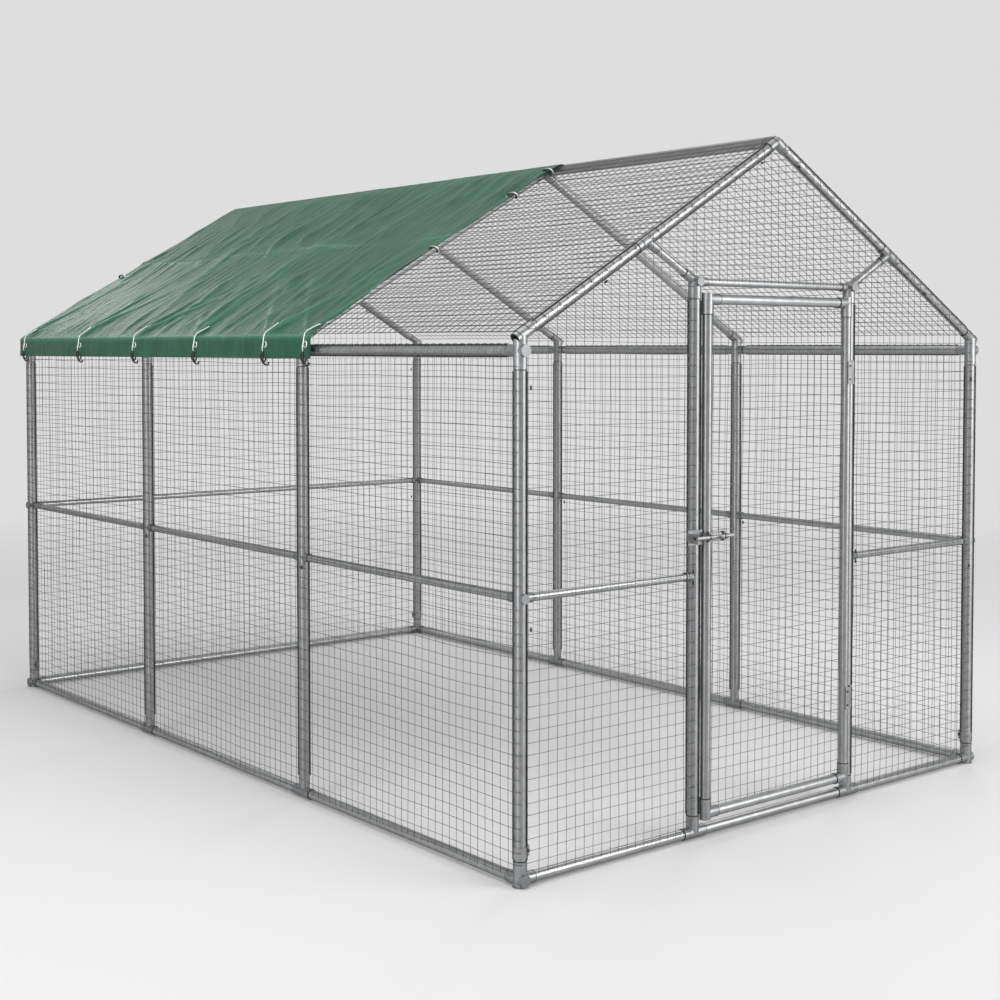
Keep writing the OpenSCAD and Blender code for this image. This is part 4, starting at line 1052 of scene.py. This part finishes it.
def seam(centre, way, reach, tube_r):
    """A ring at the mouth of a sleeve that reaches one way from a joint."""
    way = np.array(way, dtype=float)
    way /= np.linalg.norm(way)
    mouth = np.array(centre) + (reach + SEAM_GAP) * way
    return torus(mouth, way, tube_r + SEAM_R, SEAM_R, SEAM_STRETCH, turns=20, sides=6)


def corner_seams(side, end):
    x = side * HALF_W
    y = end * HALF_L
    across = (-side, 0, 0)
    along = (0, -end, 0)
    return [
        seam((x, y, BASE_Z), UP, POST_SLEEVE, POST_R),
        seam((x, y, BASE_Z), across, SLEEVE, RAIL_R),
        seam((x, y, BASE_Z), along, SLEEVE, RAIL_R),
        seam((x, y, EAVE_Z), DOWN, POST_SLEEVE, POST_R),
        seam((x, y, EAVE_Z), along, SLEEVE, RAIL_R),
        seam((x, y, MID_Z), across, MID_SLEEVE, THIN_R),
        seam((x, y, MID_Z), along, MID_SLEEVE, THIN_R),
    ]


def side_post_seams(side, y):
    x = side * HALF_W
    made = [seam((x, y, EAVE_Z), DOWN, POST_SLEEVE, POST_R)]
    for way in (-1, 1):
        made += [
            seam((x, y, BASE_Z), (0, way, 0), SLEEVE, RAIL_R),
            seam((x, y, MID_Z), (0, way, 0), MID_SLEEVE, THIN_R),
            seam((x, y, EAVE_Z), (0, way, 0), SLEEVE, RAIL_R),
        ]
    return made


def doorway_seams(side):
    base = (side * DOOR_X, -HALF_L, BASE_Z)
    mid = (side * DOOR_X, -HALF_L, MID_Z)
    foot = np.array([side * DOOR_X, -HALF_L, LINTEL_Z])
    top = np.array([side * STRUT_X, -HALF_L, STRUT_Z])
    made = [
        seam(base, UP, POST_SLEEVE, POST_R),
        seam(mid, (side, 0, 0), MID_SLEEVE, THIN_R),
        seam(foot, DOWN, POST_SLEEVE, POST_R),
        seam(foot, (-side, 0, 0), SLEEVE, THIN_R),
        seam(foot, top - foot, POST_SLEEVE, THIN_R),
        seam(top, foot - top, POST_SLEEVE, THIN_R),
    ]
    for way in (-1, 1):
        made.append(seam(base, (way, 0, 0), SLEEVE, RAIL_R))
        made.append(seam(top, way * up_slope(side), SLEEVE, RAIL_R))
    return made


seams = []
for side in (-1, 1):
    for end in (-1, 1):
        seams += corner_seams(side, end)
    for y in FRAME_YS:
        seams.append(seam(on_rafter(side, y, 0), up_slope(side), SLEEVE, RAIL_R))
        seams.append(seam((0, y, APEX_Z), -up_slope(side), SLEEVE, RAIL_R))
    for y in INNER_YS:
        seams += side_post_seams(side, y)
    seams += doorway_seams(side)
for k in range(BAYS):
    seams.append(seam((0, FRAME_YS[k], APEX_Z), (0, 1, 0), SLEEVE, RAIL_R))
    seams.append(seam((0, FRAME_YS[k + 1], APEX_Z), (0, -1, 0), SLEEVE, RAIL_R))
piece("sleeve_seams", *joined(seams), SEAM, "fitting")

# The door's seam rings, partly grime and partly painted gap shade, and dark lines on both sides of each
# hinge's barrel, painted as the shade in the gaps beside it
DOOR_LOW, DOOR_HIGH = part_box("door_rails")
STILE_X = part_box("door_stiles")[1][0] - RAIL_R
DOOR_Y = middle("door_stiles")[1]
LINE_XS = (HINGE_X - 0.0050, HINGE_X + 0.0046)
LINE_Y = HINGE_Y - 0.0032
LINE_HALF = 0.031

door_seams = []
for side in (-1, 1):
    for z, way in ((DOOR_LOW[2] + RAIL_R, 1), (DOOR_HIGH[2] - RAIL_R, -1)):
        door_seams.append(seam((side * STILE_X, DOOR_Y, z), (0, 0, way), SLEEVE, RAIL_R))
        door_seams.append(seam((side * STILE_X, DOOR_Y, z), (-side, 0, 0), SLEEVE, RAIL_R))
for z in HINGE_ZS:
    for x in LINE_XS:
        line = [(x, LINE_Y, z + up) for up in (-LINE_HALF, 0, LINE_HALF)]
        door_seams.append(swept([line], SEAM_R))
piece("door_sleeve_seams", *joined(door_seams), SEAM, "fitting", "door")

# Studio
PALE = (0.73, 0.73, 0.73)
FLOOR_R = 60
FLOOR_Z = -0.0005


def floor():
    """A pale floor that fades into the background some way off."""
    bpy.ops.mesh.primitive_circle_add(
        vertices=96, radius=FLOOR_R, fill_type="NGON", location=(0, 0, FLOOR_Z),
    )
    ground = bpy.context.object
    ground.name = "studio_floor"
    mat, tree, shader = nodes_of("floor_pale")
    shader.inputs["Base Color"].default_value = (0.84, 0.84, 0.84, 1)
    shader.inputs["Roughness"].default_value = 0.9
    shader.inputs["Specular IOR Level"].default_value = 0.1
    place = tree.nodes.new("ShaderNodeTexCoord").outputs["Object"]
    far = tree.nodes.new("ShaderNodeVectorMath")
    far.operation = "LENGTH"
    tree.links.new(place, far.inputs[0])
    blend = node(tree, "ShaderNodeMapRange", From_Min=2.6, From_Max=8.0)
    blend.interpolation_type = "SMOOTHSTEP"
    tree.links.new(far.outputs["Value"], blend.inputs["Value"])
    glow = node(tree, "ShaderNodeEmission", Color=(*PALE, 1))
    mixed = tree.nodes.new("ShaderNodeMixShader")
    tree.links.new(blend.outputs["Result"], mixed.inputs["Fac"])
    tree.links.new(shader.outputs["BSDF"], mixed.inputs[1])
    tree.links.new(glow.outputs["Emission"], mixed.inputs[2])
    tree.links.new(mixed.outputs["Shader"], tree.nodes["Material Output"].inputs["Surface"])
    ground.data.materials.append(mat)


def world():
    """A soft white surround that looks pale to the camera and in reflections."""
    made = bpy.data.worlds.new("studio")
    bpy.context.scene.world = made
    made.use_nodes = True
    tree = made.node_tree
    ambient = tree.nodes["Background"]
    ambient.inputs["Color"].default_value = (1, 1, 1, 1)
    ambient.inputs["Strength"].default_value = 0.38
    pale = node(tree, "ShaderNodeBackground", Color=(*PALE, 1), Strength=1.0)
    path = tree.nodes.new("ShaderNodeLightPath")
    total = path.outputs["Is Camera Ray"]
    for ray in ("Is Glossy Ray", "Is Transmission Ray"):
        either = tree.nodes.new("ShaderNodeMath")
        either.operation = "MAXIMUM"
        tree.links.new(total, either.inputs[0])
        tree.links.new(path.outputs[ray], either.inputs[1])
        total = either.outputs["Value"]
    mixed = tree.nodes.new("ShaderNodeMixShader")
    tree.links.new(total, mixed.inputs["Fac"])
    tree.links.new(ambient.outputs["Background"], mixed.inputs[1])
    tree.links.new(pale.outputs["Background"], mixed.inputs[2])
    tree.links.new(mixed.outputs["Shader"], tree.nodes["World Output"].inputs["Surface"])


def softbox(name, place, target, width, height, power):
    light = bpy.data.lights.new(name, "AREA")
    light.shape = "RECTANGLE"
    light.size = width
    light.size_y = height
    light.energy = power
    obj = bpy.data.objects.new(name, light)
    bpy.context.collection.objects.link(obj)
    obj.location = place
    obj.rotation_euler = (Vector(target) - Vector(place)).to_track_quat("-Z", "Y").to_euler()


floor()
world()
softbox("key_left", (-6.0, -1.9, 2.3), target=(0, 0, 0.9), width=2.6, height=4.0, power=150)
softbox("key_right", (2.6, -6.2, 2.3), target=(0, 0, 0.9), width=3.8, height=4.0, power=230)
softbox("overhead", (-1.0, -0.5, 6.0), target=(0, 0, 0), width=4.5, height=4.5, power=125)
softbox("back", (0.3, 6.9, 4.0), target=(-0.9, 0.3, 0.8), width=1.6, height=1.6, power=27)
softbox("right", (5.5, 2.0, 5.5), target=(0, -1.0, 0.5), width=2.0, height=2.0, power=75)

# Camera at the photograph's place, in metres, radians and millimetres of film
CAMERA = Vector((-3.408, -4.469, 1.333))
YAW = 0.6817
DIP = 0.0374
FILM = 36
LENS = 56.79
SHIFT = -0.0924
FARTHEST = 200
camera_data = bpy.data.cameras.new("camera")
camera_data.sensor_width = FILM
camera_data.lens = LENS
camera_data.shift_y = SHIFT
camera_data.clip_end = FARTHEST
camera = bpy.data.objects.new("camera", camera_data)
bpy.context.collection.objects.link(camera)
camera.location = CAMERA
heading = Vector((math.sin(YAW) * math.cos(DIP), math.cos(YAW) * math.cos(DIP), -math.sin(DIP)))
camera.rotation_euler = heading.to_track_quat("-Z", "Y").to_euler()
bpy.context.scene.camera = camera
bpy.context.scene.view_settings.view_transform = "Standard"
